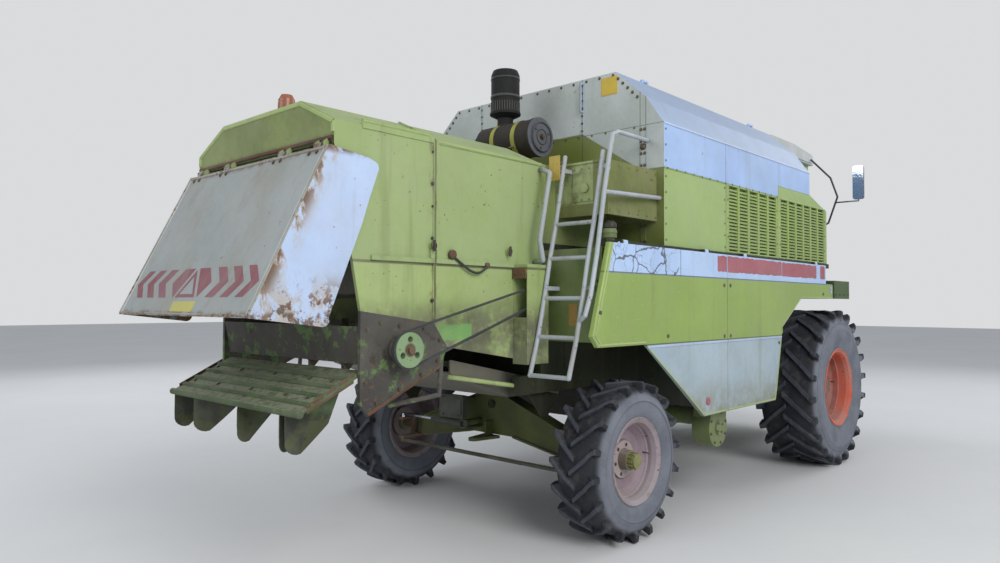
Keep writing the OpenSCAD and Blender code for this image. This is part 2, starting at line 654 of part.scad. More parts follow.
// Engine as one block, and the bay around it with its side wings
bay_y = 1360;
wing_low = 2450;
wing_rear = -4140;
bay_front = tank_rear - seat_gap;
module engine() color(dark) block(-4180, -3580, -520, 520, body_top, 2790);
module engine_bay() color(green) {
    difference() {
        union() {
            block(body_rear, bay_front, -body_y, body_y, body_top, bay_top);
            both_sides() block(wing_rear, bay_front, body_y - 1, bay_y, wing_low, bay_top);
        }
        block(body_rear + wall, bay_front - wall, wall - body_y, body_y - wall, body_top - 1,
            bay_top - wall);
        // Space inside the wings, open below
        both_sides() block(wing_rear + wall, bay_front - wall, body_y + wall, bay_y - wall,
            wing_low - 1, bay_top - wall);
    }
    both_sides() {
        // Door on the wing's rear wall, with its round latch
        block(wing_rear - 6, wing_rear, body_y + 180, bay_y - 80, 2560, bay_top - 40);
        bar_x([wing_rear - 24, 1160, 2660], 34, 20);
        plate_yz([[body_y, bay_top - 14], [body_y, bay_top + 4], [bay_y + 6, bay_top + 4], [bay_y + 6,
            bay_top - 14]],
            wing_rear - 8, wing_rear);
    }
    // Grille over the radiator's air on the bay's top
    for (i = [0 : 9]) plate_xz([[-4160 + 40 * i, bay_top - 1], [-4150 + 40 * i, bay_top + 14],
        [-4142 + 40 * i, bay_top + 14],
        [-4140 + 40 * i, bay_top - 1]], 220, 760);
}

// Air cleaner across the bay's top, with its pre-cleaner
cleaner_x = -3900;
cleaner_z = 3190;
cleaner_r = 160;
cleaner_y = [-500, 100];
module air_cleaner() color("slategray") {
    bar_y([cleaner_x, cleaner_y[0], cleaner_z], cleaner_r, cleaner_y[1] - cleaner_y[0]);
    bar_y([cleaner_x, cleaner_y[0] - 14, cleaner_z], cleaner_r + 6, 40);
    bar_y([cleaner_x, cleaner_y[0] - 24, cleaner_z], cleaner_r - 30, 12);
    bar_y([cleaner_x, cleaner_y[1] - 1, cleaner_z], cleaner_r - 40, 60);
    // Straps with their feet
    for (y = [-330, -90]) {
        bar_y([cleaner_x, y - 22, cleaner_z], cleaner_r + 5, 44);
        block(cleaner_x - 70, cleaner_x + 70, y - 20, y + 20, bay_top, cleaner_z - 120);
    }
    // Pre-cleaner on its pipe
    bar_z([cleaner_x, cleaner_pipe_y, cleaner_z + 100], 70, 140);
    translate([cleaner_x, cleaner_pipe_y, 0]) rotate_extrude() polygon([[0, cleaner_z + 225], [86,
        cleaner_z + 225],
        [136, cleaner_z + 250], [136, cleaner_z + 268], [126, cleaner_z + 280], [126, cleaner_z + 600],
        [110, cleaner_z + 640], [0, cleaner_z + 640]]);
}
cleaner_pipe_y = -107;

// Rear ladder with its handrails
ladder_y = [-1020, -1370];
grab_r = 14;
rungs = [[-4624, 1267], [-4535, 1540], [-4464, 1820], [-4398, 2114], [-4330, 2374]];
// Handrail along the outer rail: it starts below the third rung and ends at the tank
handrail_y = -1440;
handrail_r = 17;
module rear_ladder() color(white) {
    for (y = ladder_y) tube(concat([for (r = rungs) [r[0], y, r[1]]], [[-4215, y, 2900]]), 17);
    for (r = rungs) bar_y([r[0], ladder_y[1], r[1]], 15, ladder_y[0] - ladder_y[1]);
    tube([[-4505, ladder_y[1], 1655], [-4520, handrail_y + 8, 1700], [-4464, handrail_y, 1850], [-4392,
        handrail_y, 2130],
        [-4300, handrail_y, 2590], [-4215, handrail_y, 2950], [-4170, handrail_y + 14, 3030], [-4080,
            handrail_y + 30, 3065],
        [tank_rear - handrail_r - 1, -1280, 3120]], handrail_r);
    tube([[-4300, handrail_y, 2590], [tank_rear - handrail_r - 1, -1395, 2635]], handrail_r);
    for (y = ladder_y) block(-4240, wing_rear - seat_gap, y - 14, y + 14, 2780, 2810);
    for (y = ladder_y) block(-4450, body_rear + 10 - seat_gap, y - 14, y + 14, 1880, 1910);
    // Bent grab tube on the hood's side
    grip = -body_y - grab_r - seat_gap - 1;
    tube([[-4335, grip, 2815], [-4350, -980, 2770], [-4470, -980, 2250], [-4430, -980, 2100],
        [-4400, grip, 2100]], grab_r);
}

// Fuel tank inside the rear door on the right, with its filler
module fuel_tank() color("darkolivegreen") {
    block(-4300, -3500, -1420, -body_y - 20, 1500, body_top - 60);
    for (x = [-4140, -3700]) block(x, x + 40, -1426, -body_y - 14, 1494, body_top - 54);
    bar_z([-4030, -1300, body_top - 60], 40, 90);
    bar_z([-4030, -1300, body_top + 30], 55, 36);
    translate([-4030, -1300, body_top + 66]) cylinder(r1 = 60, r2 = 50, h = 34);
    for (x = [-4200, -3620]) block(x, x + 60, -body_y - 20, -body_y, 1600, 2100);
}

// Grain elevator on the right and returns elevator on the left, from boot to tank
elev = [[-2420, 670], [-2300, 2180]];
module grain_elevators() color("olivedrab") both_sides() {
    plate_xz([[elev[0][0] - 150, elev[0][1]], [elev[1][0] - 150, elev[1][1]], [elev[1][0] + 150,
        elev[1][1]],
        [elev[0][0] + 150, elev[0][1]]], 1200, 1370);
    // Boot with its bearing, flanged joints and the cross auger's tube
    bar_y([elev[0][0], 1200, elev[0][1]], 172, 170);
    bar_y([elev[0][0], 1180, elev[0][1]], 62, 208);
    for (f = [0.16, 0.9]) translate([elev[0][0] + f * (elev[1][0] - elev[0][0]), 0,
        elev[0][1] + f * (elev[1][1] - elev[0][1])])
        block(-166, 166, 1186, 1384, -10, 10);
    bar_y([elev[0][0], body_y - rail_w, elev[0][1] + 80], 80, 1200 - body_y + rail_w);
}

// Side doors, each one panel with the white skirt below it, hung on pins along X
door_hinges = [-4150, -2900, -2150, -350];
module door_hinge_pin(x) {
    for (d = [0, 84]) block(x + d, x + d + 24, side_rail_y - 5, door_axis_y + 11, door_axis_z - 10,
        door_axis_z + 10);
    bar_x([x, door_axis_y, door_axis_z], pin_r, 108);
}
module door_sleeve(x) difference() {
    union() {
        bar_x([x + 26, door_axis_y, door_axis_z], pin_r + 6, 56);
        block(x + 26, x + 82, door_axis_y, door_y, door_axis_z - 20, door_axis_z);
    }
    bar_x([x + 25, door_axis_y, door_axis_z], pin_r + pin_gap, 58);
}
rear_door = [[-4310, door_axis_z - 16], [-4520, 1554], [-4450, door_low], [-3820, door_low],
    [-2910, skirt_low], [door_seam - 3, skirt_low], [door_seam - 3, door_axis_z - 16]];
front_door = [[door_seam + 3, door_axis_z - 16], [door_seam + 3, skirt_low], [-1436, skirt_low],
    [-1400, 950], [-1270, door_low], [-1250, 1560], [-755, 1846], [200, 1850], [200, 2015],
    [-15, 2015], [-15, door_axis_z - 16]];
// Panels of a door are raised from its core, so that grooves show between them
groove = 6;
panel_h = 5;
module side_door(outline, hinges) color(green) {
    plate_xz(outline, door_y - door_t, door_y - panel_h);
    for (z = [[skirt_low - 1, door_low - groove], [door_low, band_z - groove], [band_z, body_top]])
        intersection() {
            plate_xz(outline, door_y - panel_h - 1, door_y);
            block(body_rear - 300, 300, door_y - 50, door_y + 1, z[0], z[1]);
        }
    // Stiffening rails on the inside
    for (z = [door_low + 30, 1740, band_z - 10]) intersection() {
        plate_xz(outline, door_y - door_t - 20, door_y - door_t + 1);
        block(body_rear + 120, -1000, door_y - door_t - 20, door_y, z, z + 46);
    }
    for (x = hinges) door_sleeve(x);
}
module door_rear_left() side_door(rear_door, [door_hinges[0], door_hinges[1]]);
module door_rear_right() on_side(-1) side_door(rear_door, [door_hinges[0], door_hinges[1]]);
module door_front_left() side_door(front_door, [door_hinges[2], door_hinges[3]]);
module door_front_right() on_side(-1) side_door(front_door, [door_hinges[2], door_hinges[3]]);

// Platform around the cab, with the ladder and rails on the left
deck_t = 40;
step_x = [930, 1380];
rail_r = 16;
rail_h2 = 900;
// Corners of the rail behind the cab door, as [x, y]
platform_rail = [[230, 900], [230, door_y - 40], [330, door_y - 40]];
module platform() color("olivedrab") {
    block(10, cab_front + 120, -cab_w / 2 - 40, cab_w / 2 + 40, floor_z - deck_t, floor_z);
    block(210, 1500, cab_w / 2 + 40, door_y - 40, floor_z - deck_t, floor_z);
    block(260, 770, -door_y, -cab_w / 2 - 40, floor_z - deck_t, floor_z);
    block(260, 770, -door_y, -door_y + 30, 1850, floor_z - deck_t);
    block(260, 290, -door_y, -cab_w / 2 - 40, 1850, floor_z - deck_t);
    both_sides() block(20, cab_front, body_y - rail_w, body_y, floor_z - deck_t - 130, floor_z - deck_t);
    both_sides() block(20, 110, body_y - rail_w, body_y, rail_top, floor_z - deck_t);
    // Ladder between two side plates
    for (x = [step_x[0] - 12, step_x[1]]) plate_yz([[door_y - 150, 470], [door_y - 10, 470],
        [door_y - 10, floor_z], [door_y - 100, floor_z]], x, x + 12);
    for (z = [500 : 300 : 1760]) block(step_x[0] - 1, step_x[1] + 1, door_y - 140, door_y - 20, z, z + 24);
    for (z = [rail_h2 / 2, rail_h2]) tube([for (c = platform_rail) [c[0], c[1], floor_z + z]], rail_r);
    for (c = concat(platform_rail, [[step_x[1] + 60, door_y - 60]]))
        bar_z([c[0], c[1], floor_z - deck_t], rail_r, deck_t + rail_h2);
}

// Cab: floor, posts, rear wall and sills, with the window openings cut
post = 50;
lean = 110;
cab_y = cab_w / 2;
cab_side = [[cab_rear, floor_z], [cab_rear, cab_eave], [cab_front + lean, cab_eave],
    [cab_front, floor_z + 300], [cab_front - 80, floor_z]];
module cab_shell() color("olivedrab") {
    difference() {
        plate_xz(cab_side, -cab_y, cab_y);
        plate_xz([[cab_rear + post, floor_z + 40], [cab_rear + post, cab_eave + 1],
            [cab_front + lean - post, cab_eave + 1], [cab_front - post, floor_z + 300],
            [cab_front - 80 - post, floor_z + 40]], post - cab_y, cab_y - post);
        // Rear window
        block(cab_rear - 1, cab_rear + post + 1, 120 - cab_y, cab_y - 120, 2700, cab_eave - 80);
        // Right side window
        plate_xz([[cab_rear + 110, 2560], [cab_rear + 110, cab_eave - 80], [cab_front + lean - 120,
            cab_eave - 80],
            [cab_front - 90, 2560]], -cab_y - 1, post - cab_y + 1);
        // Windscreen, down to the floor's edge
        block(cab_front - 90, cab_front + lean + 60, 60 - cab_y, cab_y - 60, floor_z + 120, cab_eave - 60);
        // Door opening on the left and the small window behind it
        plate_xz(door_hole, cab_y - post - 1, cab_y + 1);
        block(cab_rear + 70, door_axis_x - 70, cab_y - post - 1, cab_y + 1, 2560, cab_eave - 80);
    }
    for (z = cab_hinges) {
        for (d = [0, 84]) block(door_axis_x - 60, door_axis_x + 8, cab_y - 1, door_axis_y2 + 8, z + d,
            z + d + 24);
        bar_z([door_axis_x, door_axis_y2, z], pin_r, 108);
    }
}
door_hole = [[cab_rear + 330, floor_z + 45], [cab_rear + 330, cab_eave - 60],
    [cab_front + lean - 100, cab_eave - 60], [cab_front - 75, floor_z + 300], [cab_front - 150,
        floor_z + 45]];

visor = 50;
module cab_roof() color(white) {
    top = cab_eave + roof_h;
    nose = cab_front + lean + visor;
    plate_xz(concat([[cab_rear - 40, cab_eave]], arc([cab_rear + 20, top - 60], 60, 180, 90, 6),
        [[cab_front - 500, top]], arc([nose - 60, top - 110], 60, 80, 0, 6), [[nose, cab_eave]]),
        -cab_y - 50, cab_y + 50);
    // Raised ventilation hood with its slots
    difference() {
        block(cab_rear + 120, cab_rear + 760, -420, 420, top - 1, top + 50);
        for (i = [0 : 7]) block(cab_rear + 119, cab_rear + 150, -390 + 100 * i, -320 + 100 * i,
            top + 12, top + 38);
    }
    // Gutter along the sides
    both_sides() block(cab_rear - 20, cab_front + 60, cab_y + 49, cab_y + 62, cab_eave + 20, cab_eave + 40);
}

// Panes in the fixed windows
pane = 6;
// Rear, right, left rear and front panes; the windscreen bends where the cab's front does
module cab_windows() color("lightblue", 0.4) {
    g = seat_gap;
    block(cab_rear + 20, cab_rear + 20 + pane, 120 + g - cab_y, cab_y - 120 - g, 2700 + g,
        cab_eave - 80 - g);
    plate_xz([[cab_rear + 110 + g, 2560 + g], [cab_rear + 110 + g, cab_eave - 80 - g],
        [cab_front + lean - 120 - 2 * g, cab_eave - 80 - g], [cab_front - 90 - 2 * g, 2560 + g]],
        20 - cab_y, 20 + pane - cab_y);
    block(cab_rear + 70 + g, door_axis_x - 70 - g, cab_y - 20 - pane, cab_y - 20, 2560 + g,
        cab_eave - 80 - g);
    bend = [cab_front - 20, floor_z + 300];
    low = bend + [-80 * 180 / 300, g - 180];
    high = bend + [lean * (cab_eave - 60 - bend[1]) / (cab_eave - bend[1]), cab_eave - 60 - g - bend[1]];
    plate_xz([low, bend, high, high - [pane, 0], bend - [pane, 0], low - [pane, 0]], 60 + g - cab_y,
        cab_y - 60 - g);
}

// Cab door, hinged at its rear edge, and its pane
door_axis_x = cab_rear + 326;
door_axis_y2 = cab_y + 13;
cab_hinges = [floor_z + 250, cab_eave - 420];
module cab_door() color("olivedrab") {
    difference() {
        plate_xz([[door_axis_x + 16, floor_z + 50], [door_axis_x + 16, cab_eave - 66],
            [cab_front + lean - 106, cab_eave - 66], [cab_front - 82, floor_z + 302],
            [cab_front - 154, floor_z + 50]], cab_y - post + 10, cab_y - 4);
        plate_xz([[door_axis_x + 90, floor_z + 330], [door_axis_x + 90, cab_eave - 140],
            [cab_front + lean - 180, cab_eave - 140], [cab_front - 140, floor_z + 330]],
            cab_y - post, cab_y);
    }
    for (z = cab_hinges) difference() {
        union() {
            bar_z([door_axis_x, door_axis_y2, z + 26], pin_r + 5, 56);
            block(door_axis_x, door_axis_x + 70, cab_y + 1, door_axis_y2 + 4, z + 26, z + 82);
            block(door_axis_x + 16, door_axis_x + 70, cab_y - 5, cab_y + 2, z + 26, z + 82);
        }
        bar_z([door_axis_x, door_axis_y2, z + 25], pin_r + pin_gap, 58);
    }
}
module cab_door_window() color("lightblue", 0.4)
    plate_xz([[door_axis_x + 90 + seat_gap, floor_z + 330 + seat_gap],
        [door_axis_x + 90 + seat_gap, cab_eave - 140 - seat_gap],
        [cab_front + lean - 180 - 2 * seat_gap, cab_eave - 140 - seat_gap],
        [cab_front - 140 - 2 * seat_gap, floor_z + 330 + seat_gap]],
        cab_y - post + 20, cab_y - post + 20 + pane);

// Seat, steering column, wheel and console
seat_x = cab_rear + 520;
module cab_interior() color(dark) {
    block(seat_x - 160, seat_x + 160, -170, 170, floor_z + 40, floor_z + 260);
    block(seat_x - 250, seat_x + 250, -250, 250, floor_z + 260, floor_z + 380);
    plate_xz([[seat_x - 250, floor_z + 380], [seat_x - 340, floor_z + 980], [seat_x - 240, floor_z + 980],
        [seat_x - 130, floor_z + 380]], -240, 240);
    bar([seat_x + 480, 0, floor_z + 40 + 12], [seat_x + 380, 0, floor_z + 640], 45);
    block(seat_x + 420, seat_x + 540, -60, 60, floor_z + 40, floor_z + 75);
    translate([seat_x + 375, 0, floor_z + 650]) rotate([0, -15, 0]) rotate_extrude($fn = 60)
        translate([190, 0]) circle(r = 14, $fn = 24);
    translate([seat_x + 375, 0, floor_z + 650]) rotate([0, -15, 0]) union() {
        cylinder(r = 50, h = 30, center = true);
        for (a = [0, 120, 240]) rotate([0, 0, a]) translate([0, -12, -5]) cube([190, 24, 10]);
    }
    block(seat_x - 300, seat_x + 450, -560, -330, floor_z + 40, floor_z + 560);
}

// Mirrors on bent arms from the platform's corners
mirror_at = [cab_front + 90, 1438, 3345];
mirror_half = [65, 215];
mirror_turn = 26;
module mirrors() color(dark) both_sides() {
    // Bowed tube from the roof's edge to the cab's side, with an arm to the mirror's foot
    tube([[cab_front + 54, cab_y + 52 + mirror_tube + seat_gap, cab_eave + 60], [mirror_at[0], 1095, 3440],
        [mirror_at[0], 1181, 3184], [mirror_at[0], 1065, 2852],
        [cab_front - 26, cab_y + mirror_tube + seat_gap + 1, 2680]], mirror_tube);
    tube([[mirror_at[0], 1150, 3110], [mirror_at[0], mirror_at[1], 3110],
        [mirror_at[0], mirror_at[1], mirror_at[2] - mirror_half[1] + 20]], 9);
    translate(mirror_at - [20, 0, 0]) rotate([90, 0, 90]) linear_extrude(40) polygon(
        [for (q = [0 : 3]) let (sy = q == 0 || q == 3 ? 1 : -1, sz = q < 2 ? 1 : -1)
            each arc([sy * (mirror_half[0] - mirror_turn), sz * (mirror_half[1] - mirror_turn)],
                mirror_turn, 90 * q, 90 * q + 90, 4)]);
}
mirror_tube = 12;

// Beacon on the hood and work lamps under the roof's front edge
module lamps() color("orange") {
    bar_z([hood_rear + 200, 0, hood_top], 55, 40);
    translate([hood_rear + 200, 0, hood_top + 40]) rotate_extrude() polygon([[0, 0], [62, 0], [62, 20],
        [56, 100], [40, 130], [0, 140]]);
    // Work lamps below the visor, each in a round housing
    for (y = [-620, -380, 380, 620]) {
        bar_z([cab_front + lean + visor - 34, y, cab_eave - 24 - seat_gap], 10, 24);
        bar_x([cab_front + lean + 5, y, cab_eave - 80], 58, visor - 8);
    }
}

// Feeder house: a hollow channel from its pivot to the open mouth
pivot_z = 1420;
feeder_top = [[120, 1620], [pivot_x + feeder_l, 1180]];
feeder_low = [[120, 1210], [mouth_x, 450]];
mouth_tilt = atan2(mouth_lean, feeder_top[1][1] - feeder_low[1][1]);
mouth_h = norm(feeder_top[1] - feeder_low[1]);
feeder_wall = 24;
// Places children at the mouth's lower edge: local X outwards, local Z up the mouth's plane
module at_mouth() translate([feeder_low[1][0], 0, feeder_low[1][1]]) rotate([0, -mouth_tilt, 0]) children();
// Holes for the header's lock pins, [across, behind the mouth, below its edge]
lock_at = [500, 45, 36];
lock_r = 16;
lock_t = 20;
module feeder_house() color("olivedrab") {
    feeder_shell();
    at_mouth() {
        // Frame that the header hangs on, flush with the mouth
        difference() {
            block(-18, 0, -feeder_w / 2 - 30, feeder_w / 2 + 30, 0, mouth_h + 30);
            block(-19, 1, feeder_wall + 6 - feeder_w / 2, feeder_w / 2 - feeder_wall - 6, 34, mouth_h - 32);
        }
        both_sides() {
            // Hooks under the header's top beam and ears for its lock pins
            plate_xz([[-60, mouth_h - 1], [-60, mouth_h + 60], [-40, mouth_h + 60], [-30,
                mouth_h + 36], [-1, mouth_h + 28],
                [-1, mouth_h - 1]], 420, 450);
            difference() {
                plate_xz(concat([[-84, 46]], arc([-lock_at[1], -lock_at[2]], 34, 200, 340, 8), [[-5,
                    12], [-30, 20]]),
                    lock_at[0], lock_at[0] + lock_t);
                bar_y([-lock_at[1], lock_at[0] - 1, -lock_at[2]], lock_r, lock_t + 2);
            }
        }
    }
    both_sides() {
        // Lugs that the lift rods' eyes lie against
        plate_xz([lift_eye + [-90, 40], lift_eye + [90, 0], lift_eye + [40, -60], lift_eye + [-40, -60]],
            feeder_w / 2 - 1, lift_y - lift_eye_t / 2 - seat_gap);
        // Stiffening rib along the side
        plate_xz([[420, 1330], [420, 1370], [1880, 1010], [1880, 970]], feeder_w / 2 - 1,
            feeder_w / 2 + 14);
    }
}
module feeder_shell() difference() {
    plate_xz([feeder_low[0], feeder_top[0], feeder_top[1] - [4, 0], feeder_low[1] - [4, 0]],
        -feeder_w / 2, feeder_w / 2);
    plate_xz([feeder_low[0] + [-1, 28], feeder_top[0] + [-1, -26], feeder_top[1] + [20, -26],
        feeder_low[1] + [20, 22]], feeder_wall - feeder_w / 2, feeder_w / 2 - feeder_wall);
    both_sides() bar_y([pivot_x, feeder_w / 2 - 41, pivot_z], 30 + pin_gap, 42);
}

// Conveyor: a drum [x, z, radius] at each end, the chains and the slats that drag the crop in
chain_drums = [[pivot_x + feeder_l - 250, 780, 110], [330, 1330, 80]];
chain_y = [-500, 500];
chain_t = 18;
slat_pitch = 205;
slat_h = 34;
module feeder_chain() color(dark) {
    a = chain_drums[0];
    b = chain_drums[1];
    span = [b[0] - a[0], b[1] - a[1]];
    lean = acos((a[2] - b[2]) / norm(span));
    run = norm(span) * sin(lean);
    drum_w = feeder_w - 2 * feeder_wall - 2 * seat_gap;
    for (d = chain_drums) bar_y([d[0], -drum_w / 2, d[1]], d[2], drum_w);
    for (y = chain_y) translate([0, y + 15, 0]) rotate([90, 0, 0]) linear_extrude(30) difference() {
        polygon(belt_loop(a, b, chain_t, 6));
        polygon(belt_loop(a, b, -4, 6));
    }
    for (side = [1, -1], i = [0 : floor(run / slat_pitch)]) {
        n = atan2(span[1], span[0]) + side * lean;
        translate([a[0], 0, a[1]] + (a[2] + chain_t / 2) * [cos(n), 0, sin(n)]) rotate([0, 90 - n, 0])
            translate([side * i * slat_pitch, 0, 0]) plate_xz([[-20, 0], [-20, 12], [8, 12], [8, slat_h],
                [14, slat_h], [14, 0]], -600, 600);
    }
}

// Lift cylinders from the front axle to the feeder house
lift_y = feeder_w / 2 + 60;
lift_foot = [200, 620];
lift_eye = [1300, 800];
lift_pin_r = 22;
lift_eye_t = 54;
lift_barrel_r = 45;
lift_rod_r = 25;
lift_angle = atan2(lift_eye[1] - lift_foot[1], lift_eye[0] - lift_foot[0]);
lift_len = norm(lift_eye - lift_foot);
module along_lift() translate([lift_foot[0], lift_y, lift_foot[1]]) rotate([0, -lift_angle, 0]) children();
module lift_barrels() color(dark) both_sides() along_lift() difference() {
    union() {
        bar_x([62, 0, 0], lift_barrel_r, 578);
        block(0, 64, -28, 28, -34, 34);
        bar_y([0, -28, 0], lift_barrel_r, 56);
        bar_x([600, 0, 0], lift_barrel_r + 8, 40);
    }
    bar_y([0, -50, 0], lift_pin_r + pin_gap, 100);
    bar_x([120, 0, 0], lift_rod_r + pin_gap, 600);
}
module lift_rods() color("silver") both_sides() along_lift() {
    bar_x([250, 0, 0], lift_rod_r, lift_len - 250);
    bar_y([lift_len, -lift_eye_t / 2, 0], 46, lift_eye_t);
    bar_y([lift_len, lift_eye_t / 2 - 1, 0], lift_pin_r, 16);
}

// Rear axle: a beam that swings on the frame's pivot, with forks for the kingpins
kingpin_y = kingpin_track / 2;
beam_y = kingpin_y - 80;
kingpin_r = 22;
hitch_x = -wheelbase - 290;
hitch_r = 16.5;
hitch_z = 610;
hitch_t = 25;
module rear_axle() color(green) difference() {
    union() {
        plate_yz([[-beam_y, 520], [-beam_y, 700], [-180, 980], [180, 980],
            [beam_y, 700], [beam_y, 520], [300, 640], [-300, 640]], -wheelbase - 60, -wheelbase + 60);
        // Flanges along the beam's upper and lower edge, short of the steering arms
        both_sides() plate_yz([[170, 984], [beam_y - 50, 723], [beam_y - 50, 707], [170, 968]],
            -wheelbase - 80, -wheelbase + 64);
        both_sides() plate_yz([[250, 634], [beam_y - 50, 523], [beam_y - 50, 539], [250, 650]],
            -wheelbase - 80, -wheelbase + 80);
        both_sides() bar_z([-wheelbase, kingpin_y, 530], 42, 140);
        both_sides() block(-wheelbase - 40, -wheelbase + 40, beam_y - 10, kingpin_y - 30, 530, 670);
        for (z = [steer_z - steer_eye_h / 2 - 16, steer_z + steer_eye_h / 2 + 2])
            block(steer_foot[0] - 30, -wheelbase - 59, steer_foot[1] - 30, steer_foot[1] + 30, z, z + 14);
        bar_z([steer_foot[0], steer_foot[1], steer_z - 36], steer_pin_r, 72);
        // Hitch plate
        translate([0, 0, hitch_z]) linear_extrude(hitch_t) polygon(concat([[-wheelbase - 59, 90]],
            arc([hitch_x, 0], 46, 90, 270, 10), [[-wheelbase - 59, -90]]));
        block(-wheelbase - 150, -wheelbase - 59, -8, 8, hitch_z, 760);
    }
    bar_x([-wheelbase - 81, 0, axle_pivot_z], 35 + pin_gap, 146);
    both_sides() bar_z([-wheelbase, kingpin_y, 500], kingpin_r + pin_gap, 200);
    bar_z([hitch_x, 0, hitch_z - 1], hitch_r, hitch_t + 2);
}

// Knuckle: kingpin with two cheeks, the wheel's stub and the steering arm
module knuckle() color("tomato") {
    bar_z([-wheelbase, kingpin_y, 500], kingpin_r, 200);
    for (z = [500, 676]) block(-wheelbase - 45, -wheelbase + 45, kingpin_y - 40, kingpin_y + 110, z,
        z + 24);
    block(-wheelbase - 45, -wheelbase + 45, kingpin_y + 60, kingpin_y + 110, 500, 700);
    bar_y([-wheelbase, kingpin_y + 100, rear_tyre_r], rear_stub_r,
        rear_track / 2 + rear_disc_z + 55 - kingpin_y - 100);
    // Arm to the rear for the tie rod
    block(-wheelbase - steer_arm - 30, -wheelbase - 40, kingpin_y - 30, kingpin_y + 30, 500, 524);
    bar_z([-wheelbase - steer_arm, kingpin_y, 470], 16, 54);
}
module knuckle_left() union() {
    knuckle();
    // Arm to the rear for the cylinder
    color("tomato")
        block(-wheelbase - steer_arm - 30, -wheelbase - 40, kingpin_y - 30, kingpin_y + 30, 676, 700);
}
module knuckle_right() on_side(-1) knuckle();

module tie_rod() color(dark) difference() {
    union() {
        bar_y([-wheelbase - steer_arm, -kingpin_y, 481], 17, kingpin_track);
        both_sides() bar_z([-wheelbase - steer_arm, kingpin_y, 472], 32, 26);
    }
    both_sides() bar_z([-wheelbase - steer_arm, kingpin_y, 460], 16 + pin_gap, 60);
}

// Steering cylinder behind the axle, from its bracket to the left knuckle
steer_foot = [-wheelbase - steer_arm, 150];
steer_z = 726;
steer_pin_r = 12;
steer_eye_h = 40;
module steer_barrel() color("silver") difference() {
    union() {
        bar_y([steer_foot[0], steer_foot[1] + 45, steer_z], 32, 390);
        bar_y([steer_foot[0], steer_foot[1], steer_z], 16, 60);
        bar_z([steer_foot[0], steer_foot[1], steer_z - steer_eye_h / 2], 28, steer_eye_h);
    }
    bar_y([steer_foot[0], steer_foot[1] + 80, steer_z], 18 + pin_gap, 400);
    bar_z([steer_foot[0], steer_foot[1], steer_z - 40], steer_pin_r + pin_gap, 80);
}
// The rod ends in a ball joint that rests on the knuckle's upper arm
module steer_rod() color("gainsboro") {
    bar_y([steer_foot[0], steer_foot[1] + 212, steer_z], 18, kingpin_y - steer_foot[1] - 212);
    bar_z([steer_foot[0], kingpin_y, 700 + seat_gap], 28, steer_z + 10 - 700);
}

// Unloading auger: upright elbow ahead of the left cover, tube folded back along the tank
auger_r = 130;
auger_x = tank_front + auger_r + 22;
auger_foot_z = 2425;
auger_y = 1470;
auger_z = 3450;
auger_seat = auger_z - auger_r - 24;
module auger_elbow() color(green) {
    bar_z([auger_x, auger_y, auger_foot_z], auger_r, auger_seat - auger_foot_z);
    translate([auger_x, auger_y, auger_foot_z]) sphere(r = auger_r);
    bar_y([auger_x, recess_y + seat_gap, auger_foot_z], auger_r - 10, auger_y - recess_y);
    bar_z([auger_x, auger_y, auger_seat - 30], auger_r + 14, 30);
}
auger_end = tank_rear + 70;
module auger_tube() color(green) {
    bar_z([auger_x, auger_y, auger_seat + seat_gap], auger_r, auger_z - auger_seat - seat_gap);
    translate([auger_x, auger_y, auger_z]) sphere(r = auger_r);
    bar_x([auger_end, auger_y, auger_z], auger_r, auger_x - auger_end);
    // Flanges along the tube and the spout at its end
    for (x = [auger_x - 330, -1600]) bar_x([x, auger_y, auger_z], auger_r + 8, 16);
    plate_yz(concat([[auger_y, auger_z + 90], [auger_y + 60, auger_z + 118]], arc([auger_y + 80,
        auger_z + 40], 78, 60, 0, 4),
        [[auger_y + 150, auger_z - 290], [auger_y + 10, auger_z - 290], [auger_y + 10, auger_z - 100]]),
        auger_end, auger_end + 240);
}
place() chassis_frame();
place() front_axle();
place() threshing_body();
place() side_drives();
place() drive_belts();
place() straw_hood();
place() hood_flap();
place() straw_walkers();
place() chopper_housing();
place() chopper_rotor();
place() chopper_belt();
place() spreader();
place() sieve_box();
place() grain_tank();
place() side_louvres();
place() tank_lid_left();
place() tank_lid_right();
place() engine();
place() engine_bay();
place() air_cleaner();
place() rear_ladder();
place() fuel_tank();
place() grain_elevators();
place() door_rear_right();
place() door_rear_left();
place() door_front_right();
place() door_front_left();
place() platform();
place() cab_shell();
place() cab_roof();
place() cab_windows();
place() cab_door();
place() cab_door_window();
place() cab_interior();
place() mirrors();
place() lamps();
place() feeder_house();
place() feeder_chain();
place() lift_barrels();
place() lift_rods();
place() rear_axle();
place() knuckle_left();
place() knuckle_right();
place() tie_rod();
place() steer_barrel();
place() steer_rod();
place() tyre_front_left();
place() tyre_front_right();
place() tyre_rear_left();
place() tyre_rear_right();
place() rim_front_left();
place() rim_front_right();
place() rim_rear_left();
place() rim_rear_right();
place() auger_elbow();
place() auger_tube();
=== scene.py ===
import math
import random
import bpy
import bmesh
from mathutils import Matrix, Vector


